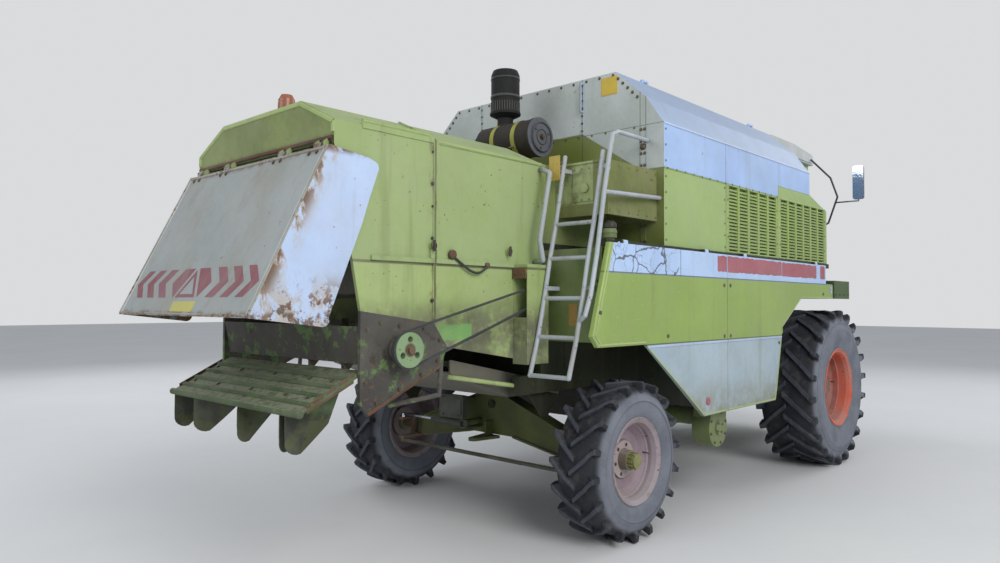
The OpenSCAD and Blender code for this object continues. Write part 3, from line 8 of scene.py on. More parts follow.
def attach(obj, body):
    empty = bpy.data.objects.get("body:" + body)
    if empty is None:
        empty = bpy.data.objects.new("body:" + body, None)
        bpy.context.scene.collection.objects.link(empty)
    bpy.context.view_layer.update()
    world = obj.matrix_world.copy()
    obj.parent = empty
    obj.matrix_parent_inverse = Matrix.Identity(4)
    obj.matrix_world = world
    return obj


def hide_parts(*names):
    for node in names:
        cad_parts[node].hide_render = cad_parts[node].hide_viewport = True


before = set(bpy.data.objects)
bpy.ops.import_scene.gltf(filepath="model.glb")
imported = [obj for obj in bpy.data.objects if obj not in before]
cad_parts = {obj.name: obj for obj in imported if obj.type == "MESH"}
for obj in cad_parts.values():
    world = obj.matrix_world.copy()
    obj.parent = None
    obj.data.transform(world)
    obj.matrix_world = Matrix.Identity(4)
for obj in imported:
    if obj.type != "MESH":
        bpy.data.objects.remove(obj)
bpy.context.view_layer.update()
random.seed(7)

# The front axle's place in the row frame: lengths below are counted from it, as on the solids
AXLE = 2.318
REARWARD, FORWARD, UP = (-1, 0, 0), (1, 0, 0), (0, 0, 1)
RIGHTWARD, LEFTWARD = (0, -1, 0), (0, 1, 0)

# Tyres, counted in metres: axle, track, radius over the lugs, width, bead and lugs
FRONT = dict(x=0.0, y=1.33, r=0.86, w=0.64, bead=0.406, lugs=22, lug_w=0.066)
REAR = dict(x=-3.88, y=1.27, r=0.60, w=0.42, bead=0.305, lugs=18, lug_w=0.052)
LUG_HEIGHT = 0.042

# Sheets on which screws and trim sit
DOOR_SIDE, HOOD_SIDE, TANK_SIDE, BAY_SIDE = 1.49, 0.860, 1.428, 1.360
HOOD_REAR, TANK_REAR, BAY_REAR, FRAME_REAR = -6.200, -3.450, -4.146, -4.300
ROTOR_X, ROTOR_Z = -5.715, 1.493

# Hinge line of the rear flap
FLAP_X, FLAP_Z = -6.25, 2.70


def at(x, y, z):
    """A point counted from the front axle, in the row frame."""
    return Vector((x + AXLE, y, z))


def lin(r, g, b):
    """A colour read as 0 to 255 on a screen, as the renderer wants it."""
    def one(c):
        c = c / 255.0
        return c / 12.92 if c <= 0.04045 else ((c + 0.055) / 1.055) ** 2.4
    return (one(r), one(g), one(b), 1.0)


def circle(n, start=0.0):
    """The cosine and sine of n even steps round a circle."""
    angles = [start + 2 * math.pi * k / n for k in range(n)]
    return [(math.cos(a), math.sin(a)) for a in angles]


class Look:
    """One material built from noise, position masks and bump on the object's own coordinates."""

    def __init__(self, name):
        self.mat = bpy.data.materials.new(name)
        self.mat.use_nodes = True
        self.tree = self.mat.node_tree
        self.tree.nodes.clear()
        self.out = self.node("ShaderNodeOutputMaterial")
        self.skin = self.node("ShaderNodeBsdfPrincipled")
        self.tree.links.new(self.skin.outputs[0], self.out.inputs[0])
        self.place = self.node("ShaderNodeTexCoord").outputs["Object"]
        parts = self.node("ShaderNodeSeparateXYZ")
        self.put(parts.inputs[0], self.place)
        self.x, self.y, self.z = parts.outputs
        facing = self.node("ShaderNodeSeparateXYZ")
        self.put(facing.inputs[0], self.node("ShaderNodeNewGeometry").outputs["Normal"])
        self.nx, self.ny, self.nz = facing.outputs
        self.side = self.math("ABSOLUTE", self.y)

    def node(self, kind, **settings):
        made = self.tree.nodes.new(kind)
        for key, value in settings.items():
            setattr(made, key, value)
        return made

    def put(self, socket, value):
        """Links or sets a socket; a tuple is a screen colour of red, green and blue."""
        if isinstance(value, bpy.types.NodeSocket):
            self.tree.links.new(value, socket)
        else:
            socket.default_value = lin(*value) if isinstance(value, tuple) else value

    def math(self, op, a, b=0.5, c=0.5):
        made = self.node("ShaderNodeMath", operation=op)
        for socket, value in zip(made.inputs, (a, b, c)):
            self.put(socket, value)
        return made.outputs[0]

    def noise(self, scale, detail=3.0, rough=0.55, stretch=(1, 1, 1), seed=0.0):
        where = self.node("ShaderNodeMapping")
        self.put(where.inputs["Vector"], self.place)
        where.inputs["Scale"].default_value = stretch
        where.inputs["Location"].default_value = (seed, 1.7 * seed, -seed)
        made = self.node("ShaderNodeTexNoise")
        self.put(made.inputs["Vector"], where.outputs[0])
        made.inputs["Scale"].default_value = scale
        made.inputs["Detail"].default_value = detail
        made.inputs["Roughness"].default_value = rough
        return made.outputs[0]

    def cells(self, scale, warp):
        """Distance to the nearest border between random cells, the border slightly wavy."""
        wave = self.node("ShaderNodeTexNoise")
        self.put(wave.inputs["Vector"], self.place)
        wave.inputs["Scale"].default_value = scale * 2.2
        moved = self.node("ShaderNodeVectorMath", operation="MULTIPLY_ADD")
        self.put(moved.inputs[0], wave.outputs[1])
        moved.inputs[1].default_value = (warp, warp, warp)
        self.put(moved.inputs[2], self.place)
        made = self.node("ShaderNodeTexVoronoi", feature="DISTANCE_TO_EDGE")
        self.put(made.inputs["Vector"], moved.outputs[0])
        made.inputs["Scale"].default_value = scale
        return made.outputs["Distance"]

    def step(self, value, low, high):
        """0 below low and 1 above high, with a soft edge; the other way round if low is higher."""
        made = self.node("ShaderNodeMapRange", interpolation_type="SMOOTHSTEP")
        self.put(made.inputs[0], value)
        made.inputs[1].default_value = min(low, high)
        made.inputs[2].default_value = max(low, high)
        made.inputs[3].default_value = 0.0 if low < high else 1.0
        made.inputs[4].default_value = 1.0 if low < high else 0.0
        return made.outputs[0]

    def spots(self, scale, low, high, detail=5.0, rough=0.7, **where):
        """Ragged patches: 0 where the noise is below low, 1 above high."""
        return self.step(self.noise(scale, detail, rough, **where), low, high)

    def span(self, value, low, high, soft=0.002):
        """1 from low to high."""
        return self.both(self.step(value, low - soft, low + soft), self.step(value, high + soft, high - soft))

    def both(self, *masks):
        result = masks[0]
        for m in masks[1:]:
            result = self.math("MULTIPLY", result, m)
        return result

    def either(self, *masks):
        result = masks[0]
        for m in masks[1:]:
            result = self.math("MAXIMUM", result, m)
        return result

    def mix(self, mask, a, b):
        made = self.node("ShaderNodeMix", data_type="RGBA")
        for place, value in ((0, mask), (6, a), (7, b)):
            self.put(made.inputs[place], value)
        return made.outputs[2]

    def over(self, color, mask, coat, share=1.0):
        """A coat laid over a colour where the mask is 1, at most with this share."""
        return self.mix(mask if share == 1.0 else self.both(mask, share), color, coat)

    def radius(self, cx, cz):
        """Distance from an axle along Y through (cx, cz), in the object's own coordinates."""
        dx = self.math("SUBTRACT", self.x, cx)
        dz = self.math("SUBTRACT", self.z, cz)
        return self.math("SQRT", self.math("ADD", self.both(dx, dx), self.both(dz, dz)))

    def tone(self, a, b, scale=1.4, seed=0.0):
        """Two shades of one paint in large soft patches, with fine mottling between them."""
        wide = self.spots(scale, 0.34, 0.68, 5.0, 0.6, seed=seed)
        fine = self.spots(scale * 16, 0.35, 0.75, 3.0, 0.6, seed=seed + 3)
        return self.mix(self.math("ADD", self.both(wide, 0.75), self.both(fine, 0.25)), a, b)

    def swell(self, height, strength):
        """Bump from a height; returns its node."""
        made = self.node("ShaderNodeBump")
        made.inputs["Strength"].default_value = strength
        self.put(made.inputs["Height"], height)
        self.put(self.skin.inputs["Normal"], made.outputs[0])
        return made

    def weather(self, color, dust=(150, 152, 130), dusty=0.35, up=0.6, streaks=0.3, streak=(92, 96, 70),
                rust=0.3, low=None, grime=(92, 86, 68), rough=(0.42, 0.78), bump=0.22, metal=0.0):
        """Dust, streaks, grime near the ground, rust spots, roughness and bump over any colour."""
        wide = self.noise(2.3, 5.0, 0.6, seed=1.0)
        fine = self.noise(26.0, 4.0, 0.6, seed=2.0)
        lying = self.both(self.step(self.nz, 0.45, 0.9), self.step(fine, 0.28, 0.55))
        veil = self.either(self.both(self.step(wide, 0.3, 0.75), dusty), self.both(lying, up))
        color = self.over(color, veil, dust)
        runs = self.spots(8.0, 0.54, 0.74, 4.0, 0.6, stretch=(1, 1, 0.07), seed=4.0)
        color = self.over(color, runs, streak, streaks)
        if low:
            splash = self.spots(5.0, 0.25, 0.6, 5.0, 0.65, seed=5.0)
            near = self.both(self.step(self.z, low[1], low[0]), splash)
            color = self.over(color, near, grime, 0.85)
        if rust:
            grain = self.noise(34.0, 3.0, 0.5, seed=6.0)
            where = self.spots(3.1, 0.44, 0.6, 3.0, 0.5, seed=7.0)
            full = 0.8 - 0.1 * rust
            for rim, coat, share in ((0.055, (84, 52, 36), 1.0), (0.10, (136, 104, 70), 0.35)):
                color = self.over(color, self.both(self.step(grain, full - rim, full), where), coat, share)
        self.put(self.skin.inputs["Base Color"], color)
        matt = self.node("ShaderNodeMapRange")
        self.put(matt.inputs[0], self.math("ADD", self.both(veil, 0.6), self.both(fine, 0.5)))
        matt.inputs[3].default_value, matt.inputs[4].default_value = rough
        self.put(self.skin.inputs["Roughness"], matt.outputs[0])
        self.put(self.skin.inputs["Metallic"], metal)
        swell = self.swell(self.math("ADD", self.both(fine, 0.35), wide), bump)
        swell.inputs["Distance"].default_value = 0.012
        return self.mat


def paint(name, a, b, **wear):
    """A worn paint in two shades."""
    g = Look(name)
    return g.weather(g.tone(a, b), **wear)


GREEN_A, GREEN_B = (148, 173, 88), (136, 160, 80)
RUST_A, RUST_B = (104, 66, 44), (70, 44, 34)

green = paint("faded_green", GREEN_A, GREEN_B, dusty=0.3, streaks=0.25, rust=0.3)
olive = paint("olive_green", (104, 122, 62), (84, 98, 54), dusty=0.45, streaks=0.4, rust=0.4,
              grime=(70, 66, 50))
dark_green = paint("dark_green", (66, 92, 40), (52, 74, 34), dusty=0.3, streaks=0.3, rust=0.2)
# White paint tinted blue by a painted sky reflection
white = paint("worn_white", (178, 197, 226), (162, 182, 214), dusty=0.2, up=0.2, streaks=0.25,
              streak=(140, 142, 138), rust=0.25)
roof_white = paint("roof_white", (196, 202, 206), (180, 188, 194), dusty=0.4, streaks=0.3, rust=0.1)
steel = paint("dark_steel", (74, 70, 64), (56, 52, 50), dusty=0.4, streaks=0.2, rust=0.8, metal=0.35)
grease = paint("greasy_iron", (48, 46, 42), (34, 33, 32), dusty=0.35, up=0.75, rust=0.4, dust=(96, 90, 76))
zinc = paint("walker_zinc", (120, 122, 118), (98, 98, 92), dusty=0.6, up=0.9, rust=0.6, metal=0.3,
             dust=(128, 118, 92))
bolt_iron = paint("bolt_iron", (96, 84, 70), (66, 54, 46), dusty=0.3, rust=1.0, metal=0.4)
bolt_green = paint("painted_bolts", (128, 146, 86), (96, 104, 66), dusty=0.4, rust=1.2)
rust_edge = paint("rust_edge", RUST_A, RUST_B, dusty=0.3, rust=0.5, rough=(0.75, 0.95), bump=0.5)
chipped = paint("chipped_white", (164, 166, 160), (120, 108, 92), dusty=0.3, streaks=0.4,
                streak=(112, 86, 62), rust=2.2)
pale_edge = paint("pale_green_edge", (168, 188, 118), (150, 170, 104), dusty=0.3, rust=0.5)
pipe_white = paint("worn_pipe", (180, 188, 198), (154, 160, 166), dusty=0.3, rust=0.9, streak=(120, 96, 70))
chrome = paint("chrome_rod", (196, 198, 200), (176, 178, 180), dusty=0.08, up=0.3, streaks=0.05,
               rust=0.1, rough=(0.12, 0.3), metal=1.0)
plastic = paint("grey_plastic", (62, 64, 66), (48, 50, 52), dusty=0.4, rust=0.0, rough=(0.5, 0.8))
rubber = paint("belt_rubber", (46, 46, 48), (34, 34, 36), dusty=0.4, rust=0.0, rough=(0.6, 0.9),
               dust=(104, 106, 108))
seat_cloth = paint("seat_cloth", (58, 60, 66), (44, 46, 52), dusty=0.25, rust=0.0, rough=(0.8, 0.98),
                   bump=0.5)
console = paint("cab_console", (84, 84, 82), (66, 66, 66), dusty=0.3, rust=0.0, rough=(0.5, 0.8))
yellow = paint("yellow_plate", (206, 178, 60), (186, 156, 54), dusty=0.25, streaks=0.4, rust=0.4)
label = paint("faded_label", (196, 188, 96), (176, 176, 112), dusty=0.2, streaks=0.3, rust=0.2)
ochre = paint("rusty_plate", (168, 132, 58), (120, 78, 44), dusty=0.3, streaks=0.5, rust=1.2)
red = paint("faded_red", (168, 92, 102), (150, 76, 84), dusty=0.28, dust=(178, 150, 156), streaks=0.25,
            streak=(190, 160, 168), rust=0.3)
flap_red = paint("flap_red", (140, 74, 84), (122, 66, 76), dusty=0.4, dust=(150, 132, 134),
                 streaks=0.3, streak=(150, 130, 130), rust=0.4)
axle_red = paint("axle_red", (120, 58, 52), (92, 48, 44), dusty=0.5, up=0.8, rust=0.8)


def door_look():
    g = Look("side_door")
    color = g.tone(GREEN_A, GREEN_B, 1.1)
    # The white band starts just inside the door's slanting rear edge
    slant = 0.3134
    edge = AXLE - 4.310 - slant * 2.224
    clear = g.step(g.math("MULTIPLY_ADD", g.z, -slant, g.x), edge + 0.056, edge + 0.060)
    band = g.both(g.step(g.z, 2.0, 2.016), clear)
    # The band's blue-tinged white is white paint with a painted sky reflection
    color = g.over(color, band, g.tone((186, 212, 250), (172, 198, 238), 2.0, 5.0))
    color = g.over(color, g.step(g.z, 1.474, 1.462), g.tone((170, 188, 200), (152, 171, 184), 1.6, 8.0))
    # Cracked film over the rear end of the white band
    crack = g.both(g.step(g.cells(3.6, 0.10), 0.022, 0.012), band, g.step(g.x, AXLE - 3.32, AXLE - 3.34))
    hair = g.both(g.step(g.cells(6.0, 0.12), 0.009, 0.004), band, g.step(g.x, AXLE - 3.25, AXLE - 3.3))
    joint = g.both(band, g.span(g.x, AXLE - 3.302, AXLE - 3.294, 0.002))
    color = g.over(color, g.either(crack, g.either(hair, joint)), (64, 62, 66), 0.85)
    # Grooves at the band's edges are darkened with painted shade and dirt
    groove = g.either(g.span(g.z, 2.004, 2.017, 0.003), g.span(g.z, 1.463, 1.477, 0.003))
    color = g.over(color, groove, (74, 78, 66), 0.55)
    scuff = g.both(g.spots(60.0, 0.66, 0.72, 2.0, 0.5, stretch=(0.25, 1, 3)),
                   g.spots(2.2, 0.5, 0.62, 3.0, 0.55))
    color = g.over(color, scuff, (186, 200, 150), 0.5)
    return g.weather(color, dusty=0.22, streaks=0.22, rust=0.18, low=(0.8, 1.25), grime=(128, 128, 104),
                     rough=(0.34, 0.7))


def tank_look():
    g = Look("grain_tank")
    fade = g.tone((156, 180, 114), (146, 171, 100), 1.2)
    # The rear wall's darker olive, mixed with a yellow olive, is painted shade with painted bounce light
    rear = g.tone((120, 132, 84), (98, 108, 66), 1.6, 4.0)
    back = g.both(g.step(g.x, AXLE - 3.43, AXLE - 3.445), g.step(g.nx, -0.4, -0.6))
    low = g.mix(back, fade, g.mix(0.62, rear, (108, 118, 26)))
    # The white on the sides is tinted blue by a painted sky reflection; the rear wall's white is neutral
    top = g.mix(back, g.tone((168, 196, 240), (154, 182, 228), 1.3, 6.0),
                g.tone((188, 196, 196), (168, 176, 176), 1.6, 9.0))
    # Border between white and green: level on the sides, a slope on the rear wall
    level, crown = 2.886, 3.271
    side_edge = g.math("ADD", level, g.both(g.step(g.x, AXLE - 1.195, AXLE - 1.185), 0.114))
    slope = g.either(g.math("MULTIPLY_ADD", g.side, -0.648, 3.670), level)
    slope = g.math("MINIMUM", slope, crown)
    edge = g.math("ADD", g.both(back, g.math("SUBTRACT", slope, side_edge)), side_edge)
    above = g.math("SUBTRACT", g.z, edge)
    color = g.mix(g.step(above, -0.002, 0.002), low, top)
    # Sloping faces turn a darker blue grey: a painted shadow over the tank's top
    color = g.over(color, g.span(g.nz, 0.35, 0.9, 0.05), g.tone((152, 168, 194), (140, 156, 182), 1.5), 0.7)
    line = g.both(g.step(g.math("ABSOLUTE", above), 0.006, 0.003), g.spots(9.0, 0.3, 0.5, 3.0, 0.55))
    color = g.over(color, line, (84, 92, 70), 0.5)
    # Upright joints of the side sheets and of the rear wall
    joints = [g.span(g.x, AXLE + s - 0.003, AXLE + s + 0.003, 0.002) for s in (-2.365, -1.18)]
    joint = g.both(g.either(*joints), g.step(g.side, 1.40, 1.42))
    seams = [g.span(g.side, lo, hi, 0.003) for lo, hi in ((0.612, 0.622), (1.202, 1.210), (1.256, 1.264))]
    seam = g.both(back, g.either(*seams))
    fold = g.both(back, g.span(g.z, 3.25, 3.256, 0.003))
    color = g.over(color, g.either(joint, seam, fold), (70, 76, 58), 0.75)
    soot = g.both(back, g.spots(3.4, 0.42, 0.7, seed=3.0), g.step(g.z, 3.0, 2.5))
    color = g.over(color, soot, (58, 56, 44), 0.6)
    return g.weather(color, dusty=0.2, up=0.2, streaks=0.24, streak=(128, 136, 122), rust=0.4)


def hood_look():
    g = Look("straw_hood")
    color = g.tone((160, 179, 122), (146, 166, 104), 1.1)
    color = g.over(color, g.step(g.z, 2.05, 2.03), g.tone((166, 184, 120), (148, 168, 100), 1.6, 4.0))
    # The rear-facing wall gets a darker green: painted shade
    rear = g.both(g.step(g.x, AXLE - 6.185, AXLE - 6.198), g.step(g.nx, -0.4, -0.6))
    color = g.over(color, rear, g.tone((132, 146, 84), (106, 118, 70), 1.8, 5.0))
    # Moss and grey dirt over the lower edge
    moss = g.both(g.step(g.z, 1.86, 1.62), g.spots(4.5, 0.3, 0.55, 6.0, seed=2.0))
    color = g.over(color, moss, g.tone((104, 102, 84), (80, 76, 68), 6.0, 3.0), 0.9)
    bright = g.both(g.spots(7.0, 0.58, 0.64, seed=9.0), g.step(g.z, 1.8, 1.7))
    color = g.over(color, bright, (106, 136, 66), 0.6)
    ragged = g.math("MULTIPLY_ADD", g.noise(20.0, 3.0), 0.05, g.z)
    patch = g.both(g.step(g.y, -0.85, -0.858), g.span(g.x, AXLE - 5.36, AXLE - 5.06, 0.006),
                   g.span(ragged, 1.555, 1.665, 0.006))
    color = g.over(color, patch, (112, 172, 92), 0.8)
    # Rusty seam with its stains
    off = g.math("ABSOLUTE", g.math("SUBTRACT", g.x, AXLE - 5.41))
    stain = g.both(g.step(off, 0.075, 0.012), g.spots(16.0, 0.48, 0.66, stretch=(1, 1, 0.35)))
    color = g.over(color, stain, g.tone(RUST_A, RUST_B, 9.0), 0.75)
    shelf = g.both(g.span(g.z, 2.028, 2.046, 0.004), g.step(g.side, 0.85, 0.86))
    color = g.over(color, g.either(g.step(off, 0.012, 0.006), shelf), (70, 62, 46), 0.8)
    foot = g.both(rear, g.step(g.z, 2.79, 2.75), g.spots(12.0, 0.36, 0.5))
    color = g.over(color, foot, g.tone((72, 56, 40), (48, 42, 34), 14.0))
    return g.weather(color, dusty=0.36, up=0.4, streaks=0.5, streak=(128, 140, 88), rust=0.55,
                     dust=(160, 168, 134), rough=(0.5, 0.85))


def flap_look():
    g = Look("hood_flap")
    # The sheet is white paint darkened to grey as painted shade
    shaded_white_sheet = g.tone((160, 167, 168), (142, 149, 148), 1.3)
    brown = g.both(g.spots(1.9, 0.45, 0.72, 5.0, 0.65, stretch=(1, 1, 0.4), seed=2.0),
                   g.step(g.side, 0.9, 0.5))
    shaded_white_sheet = g.over(shaded_white_sheet, brown, (140, 132, 110), 0.5)
    # The cheeks' blue-tinged white carries a painted sky reflection
    outer = g.step(g.side, 0.874, 0.880)
    color = g.over(shaded_white_sheet, outer, g.tone((194, 214, 246), (182, 202, 236), 2.2, 6.0))
    # How far a point of the cheek lies in front of the flap's sheet, in metres
    run, fall = 0.898, 0.44
    hinge = fall * FLAP_Z - run * (AXLE + FLAP_X)
    depth = g.math("ADD", g.math("MULTIPLY_ADD", g.z, -fall, g.both(g.x, run)), hinge)
    patch = g.noise(8.0, 6.0, 0.7, stretch=(1, 1, 0.5), seed=3.0)
    # Worn paint along the cheek's edge and foot, the fold, and the sheet's ends
    edge = g.both(outer, g.step(depth, 0.09, 0.0), g.step(patch, 0.50, 0.58))
    foot = g.both(outer, g.step(g.z, 1.98, 1.76), g.spots(9.0, 0.52, 0.57, 6.0, seed=5.0))
    rim = g.both(g.span(g.side, 0.845, 0.878, 0.006), g.step(patch, 0.40, 0.52))
    bottom = g.both(g.step(g.z, 1.745, 1.71), g.spots(11.0, 0.46, 0.56))
    top = g.both(g.step(g.z, 2.64, 2.69), g.spots(13.0, 0.42, 0.55))
    halo = g.either(g.both(outer, g.step(depth, 0.14, 0.01)), g.both(outer, g.step(g.z, 2.0, 1.75)))
    color = g.over(color, g.both(halo, g.step(patch, 0.46, 0.54)), (186, 160, 112), 0.6)
    worn = g.either(edge, foot, rim, bottom, top)
    color = g.over(color, worn, g.tone((122, 84, 54), (72, 48, 38), 11.0, 2.0))
    return g.weather(color, dusty=0.3, dust=(158, 158, 150), streaks=0.35, streak=(128, 122, 108),
                     rust=0.5, rough=(0.5, 0.85))


def chopper_look():
    g = Look("chopper_housing")
    color = g.tone((84, 80, 76), (62, 58, 56), 3.2)
    color = g.over(color, g.spots(6.0, 0.53, 0.6, seed=4.0), g.tone((104, 138, 78), (86, 112, 62), 5.0))
    color = g.over(color, g.spots(9.0, 0.58, 0.66, seed=8.0), (58, 48, 42))
    return g.weather(color, dusty=0.25, dust=(120, 120, 104), rust=0.8, rough=(0.65, 0.92), bump=0.4)


def spreader_look():
    g = Look("spreader")
    color = g.tone((84, 102, 72), (58, 72, 46), 4.0)
    green_left = g.spots(13.0, 0.5, 0.6, 6.0, 0.75, seed=3.0)
    color = g.over(color, green_left, g.tone((84, 112, 56), (58, 72, 38), 8.0))
    iron = g.mix(g.spots(5.0, 0.47, 0.56, 4.0, 0.6, seed=6.0), (34, 34, 33), (60, 64, 34))
    color = g.over(color, g.step(g.z, 1.16, 1.10), iron, 0.85)
    return g.weather(color, dusty=0.3, streaks=0.2, rust=0.6, rough=(0.7, 0.95), bump=0.5)


# Chassis, front axle and threshing body: dirty dark olive, darkened further as painted shade of the underside
def frame_look():
    g = Look("chassis_dirt_and_shade")
    color = g.tone((44, 51, 27), (26, 30, 18), 2.4)
    return g.weather(color, rust=0.7, low=(0.5, 1.2), grime=(50, 47, 37), dust=(74, 71, 57), rough=(0.6, 0.9),
                     bump=0.35)


def axle_look():
    g = Look("rear_axle_paint")
    # Darker olive, partly painted shade under the machine
    color = g.tone((92, 102, 50), (68, 77, 38), 3.0)
    return g.weather(color, up=0.7, rust=0.6, low=(0.45, 0.7), dust=(86, 84, 66), rough=(0.6, 0.9), bump=0.35)


def cleaner_look():
    g = Look("air_cleaner")
    color = g.tone((48, 41, 34), (34, 29, 24), 3.0)
    color = g.over(color, g.step(g.z, 3.34, 3.36), g.tone((14, 13, 16), (8, 8, 10), 3.0, 2.0))
    straps = g.either(g.span(g.y, -0.352, -0.308), g.span(g.y, -0.112, -0.068))
    straps = g.both(straps, g.step(g.z, 3.34, 3.33))
    color = g.over(color, straps, g.tone((158, 160, 74), (132, 136, 66), 8.0))
    color = g.over(color, g.step(g.y, -0.505, -0.512), g.tone((100, 103, 114), (84, 86, 96), 4.0))
    return g.weather(color, dusty=0.08, up=0.3, streaks=0.15, rust=0.3, dust=(66, 62, 55), rough=(0.7, 0.95))


def lamp_look():
    g = Look("lamps")
    ahead = g.step(g.x, AXLE - 2.0, AXLE - 1.9)
    color = g.mix(ahead, g.tone((168, 84, 50), (128, 64, 44), 6.0), g.tone((52, 54, 56), (40, 42, 44), 6.0))
    foot = g.both(g.step(g.z, 3.075, 3.065), g.step(g.x, AXLE - 1.9, AXLE - 2.0))
    color = g.over(color, foot, (98, 66, 46))
    lens = g.both(g.step(g.nx, 0.8, 0.95), g.step(g.x, AXLE, AXLE + 0.1))
    color = g.over(color, lens, (206, 210, 214))
    return g.weather(color, dusty=0.25, streaks=0.2, rust=0.2, rough=(0.2, 0.5))


def mirror_look():
    g = Look("mirrors")
    face = g.both(g.step(g.nx, -0.8, -0.95), g.step(g.side, 1.3, 1.34))
    color = g.over(g.tone((56, 58, 62), (42, 44, 48), 5.0), face, (196, 206, 214))
    g.weather(color, dusty=0.2, streaks=0.1, rust=0.05, rough=(0.35, 0.6))
    g.put(g.skin.inputs["Metallic"], face)
    matt = g.skin.inputs["Roughness"].links[0].from_socket
    g.put(g.skin.inputs["Roughness"], g.both(matt, g.math("SUBTRACT", 1.0, g.both(face, 0.8))))
    return g.mat


def rim_look(name, spec, plate, inner, ring, disc, cap_r, cap):
    g = Look(name)
    bead = spec["bead"]
    r = g.radius(AXLE + spec["x"], spec["r"])
    color = g.mix(g.step(r, bead - 0.045, bead - 0.03), g.tone(*disc, 3.0), g.tone(*ring, 3.0, 4.0))
    worn = g.both(g.step(r, bead - 0.02, bead + 0.012), g.spots(9.0, 0.48, 0.6))
    color = g.over(color, worn, (110, 96, 88), 0.6)
    color = g.over(color, g.step(r, plate + 0.004, plate - 0.004), g.tone(*inner, 6.0))
    color = g.over(color, g.step(r, cap_r + 0.004, cap_r - 0.004), g.tone(*cap, 9.0))
    crease = g.either(g.span(r, plate - 0.004, plate + 0.006, 0.003),
                      g.span(r, cap_r - 0.002, cap_r + 0.008, 0.003))
    color = g.over(color, crease, (58, 46, 42), 0.6)
    return g.weather(color, dusty=0.4, up=0.7, streaks=0.15, rust=0.9, dust=(160, 150, 144),
                     rough=(0.5, 0.85))


def tyre_look(name, spec):
    g = Look(name)
    r, w, bead = spec["r"], spec["w"], spec["bead"]
    rad = g.radius(0.0, 0.0)
    wall = g.tone((118, 123, 134), (92, 97, 108), 4.0)
    color = g.over(wall, g.step(rad, r - 0.11, r - 0.06), g.tone((27, 30, 38), (16, 18, 24), 6.0, 2.0))
    color = g.over(color, g.step(rad, r - 0.016, r - 0.006), g.tone((64, 68, 80), (38, 41, 50), 9.0, 5.0))
    ring = g.either(g.span(rad, bead + 0.012, bead + 0.02, 0.002), g.span(rad, r - 0.155, r - 0.148, 0.002))
    color = g.over(color, g.both(ring, g.step(g.side, w * 0.3, w * 0.36)), (60, 62, 68), 0.7)
    mud = g.both(g.spots(7.0, 0.5, 0.66, seed=4.0), g.step(rad, r - 0.2, r - 0.05))
    color = g.over(color, mud, (98, 96, 92), 0.3)
    return g.weather(color, dusty=0.16, up=0.1, streaks=0.0, rust=0.0, dust=(128, 132, 140),
                     rough=(0.72, 0.95), bump=0.35)


def glass_look():
    g = Look("cab_glass")
    film = g.spots(3.0, 0.35, 0.75, 5.0, 0.6)
    g.put(g.skin.inputs["Base Color"], g.mix(film, (190, 206, 210), (150, 160, 160)))
    g.put(g.skin.inputs["Roughness"], g.math("MULTIPLY_ADD", film, 0.3, 0.04))
    g.skin.inputs["Transmission Weight"].default_value = 0.85
    g.skin.inputs["IOR"].default_value = 1.2
    g.swell(g.noise(2.0), 0.03)
    return g.mat


def bay_look():
    g = Look("engine_bay")
    color = g.tone((146, 164, 96), (122, 138, 80), 1.8)
    beside = g.step(g.side, 0.87, 0.875)
    wing = g.both(beside, g.step(g.nx, -0.4, -0.6), g.step(g.side, 1.232, 1.226), g.step(g.z, 2.535, 2.545))
    # The sides below the wing are a darker olive: painted shade like that on the tank's rear wall
    outer = g.both(beside, g.step(g.z, 2.9, 2.87))
    color = g.over(color, outer, g.tone((112, 120, 58), (94, 102, 46), 2.0, 5.0))
    color = g.over(color, wing, g.tone((166, 182, 122), (142, 156, 102), 2.0, 3.0))
    color = g.over(color, g.both(g.spots(4.2, 0.5, 0.66, seed=5.0), wing), (56, 52, 42), 0.75)
    return g.weather(color, dusty=0.45, streaks=0.5, streak=(92, 84, 56), rust=0.7, dust=(150, 150, 120))


def rotor_look():
    g = Look("chopper_rotor")
    iron = g.tone((84, 66, 52), (58, 48, 42), 5.0)
    color = g.over(iron, g.step(g.y, -0.93, -0.94), g.tone((136, 166, 122), (116, 148, 102), 6.0))
    color = g.over(color, g.step(g.radius(AXLE + ROTOR_X, ROTOR_Z), 0.05, 0.035), (92, 64, 46))
    return g.weather(color, streaks=0.1, rust=0.9, metal=0.1)


def dress(mat, *nodes):
    for name in nodes:
        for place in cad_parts[name].material_slots:
            place.material = mat


dress(door_look(), "door_rear_right", "door_rear_left", "door_front_right", "door_front_left")
dress(tank_look(), "grain_tank")
dress(green, "side_louvres", "auger_elbow", "auger_tube", "cab_shell", "cab_door")
dress(white, "tank_lid_left", "tank_lid_right")
dress(roof_white, "cab_roof")
dress(hood_look(), "straw_hood")
dress(flap_look(), "hood_flap")
dress(chopper_look(), "chopper_housing")
dress(spreader_look(), "spreader")
dress(frame_look(), "chassis_frame", "front_axle", "threshing_body")
dress(axle_look(), "rear_axle")
dress(bay_look(), "engine_bay")
dress(cleaner_look(), "air_cleaner")
dress(lamp_look(), "lamps")
dress(mirror_look(), "mirrors")
dress(rotor_look(), "chopper_rotor")
dress(olive, "grain_elevators", "feeder_house", "fuel_tank")
dress(dark_green, "platform")
dress(steel, "side_drives", "lift_barrels", "tie_rod", "feeder_chain")
dress(zinc, "straw_walkers", "sieve_box")
dress(rubber, "drive_belts", "chopper_belt")
dress(grease, "engine")
dress(pipe_white, "rear_ladder")
dress(chrome, "lift_rods", "steer_rod")
dress(plastic, "steer_barrel")
dress(console, "cab_interior")
dress(axle_red, "knuckle_left", "knuckle_right")
dress(glass_look(), "cab_windows", "cab_door_window")
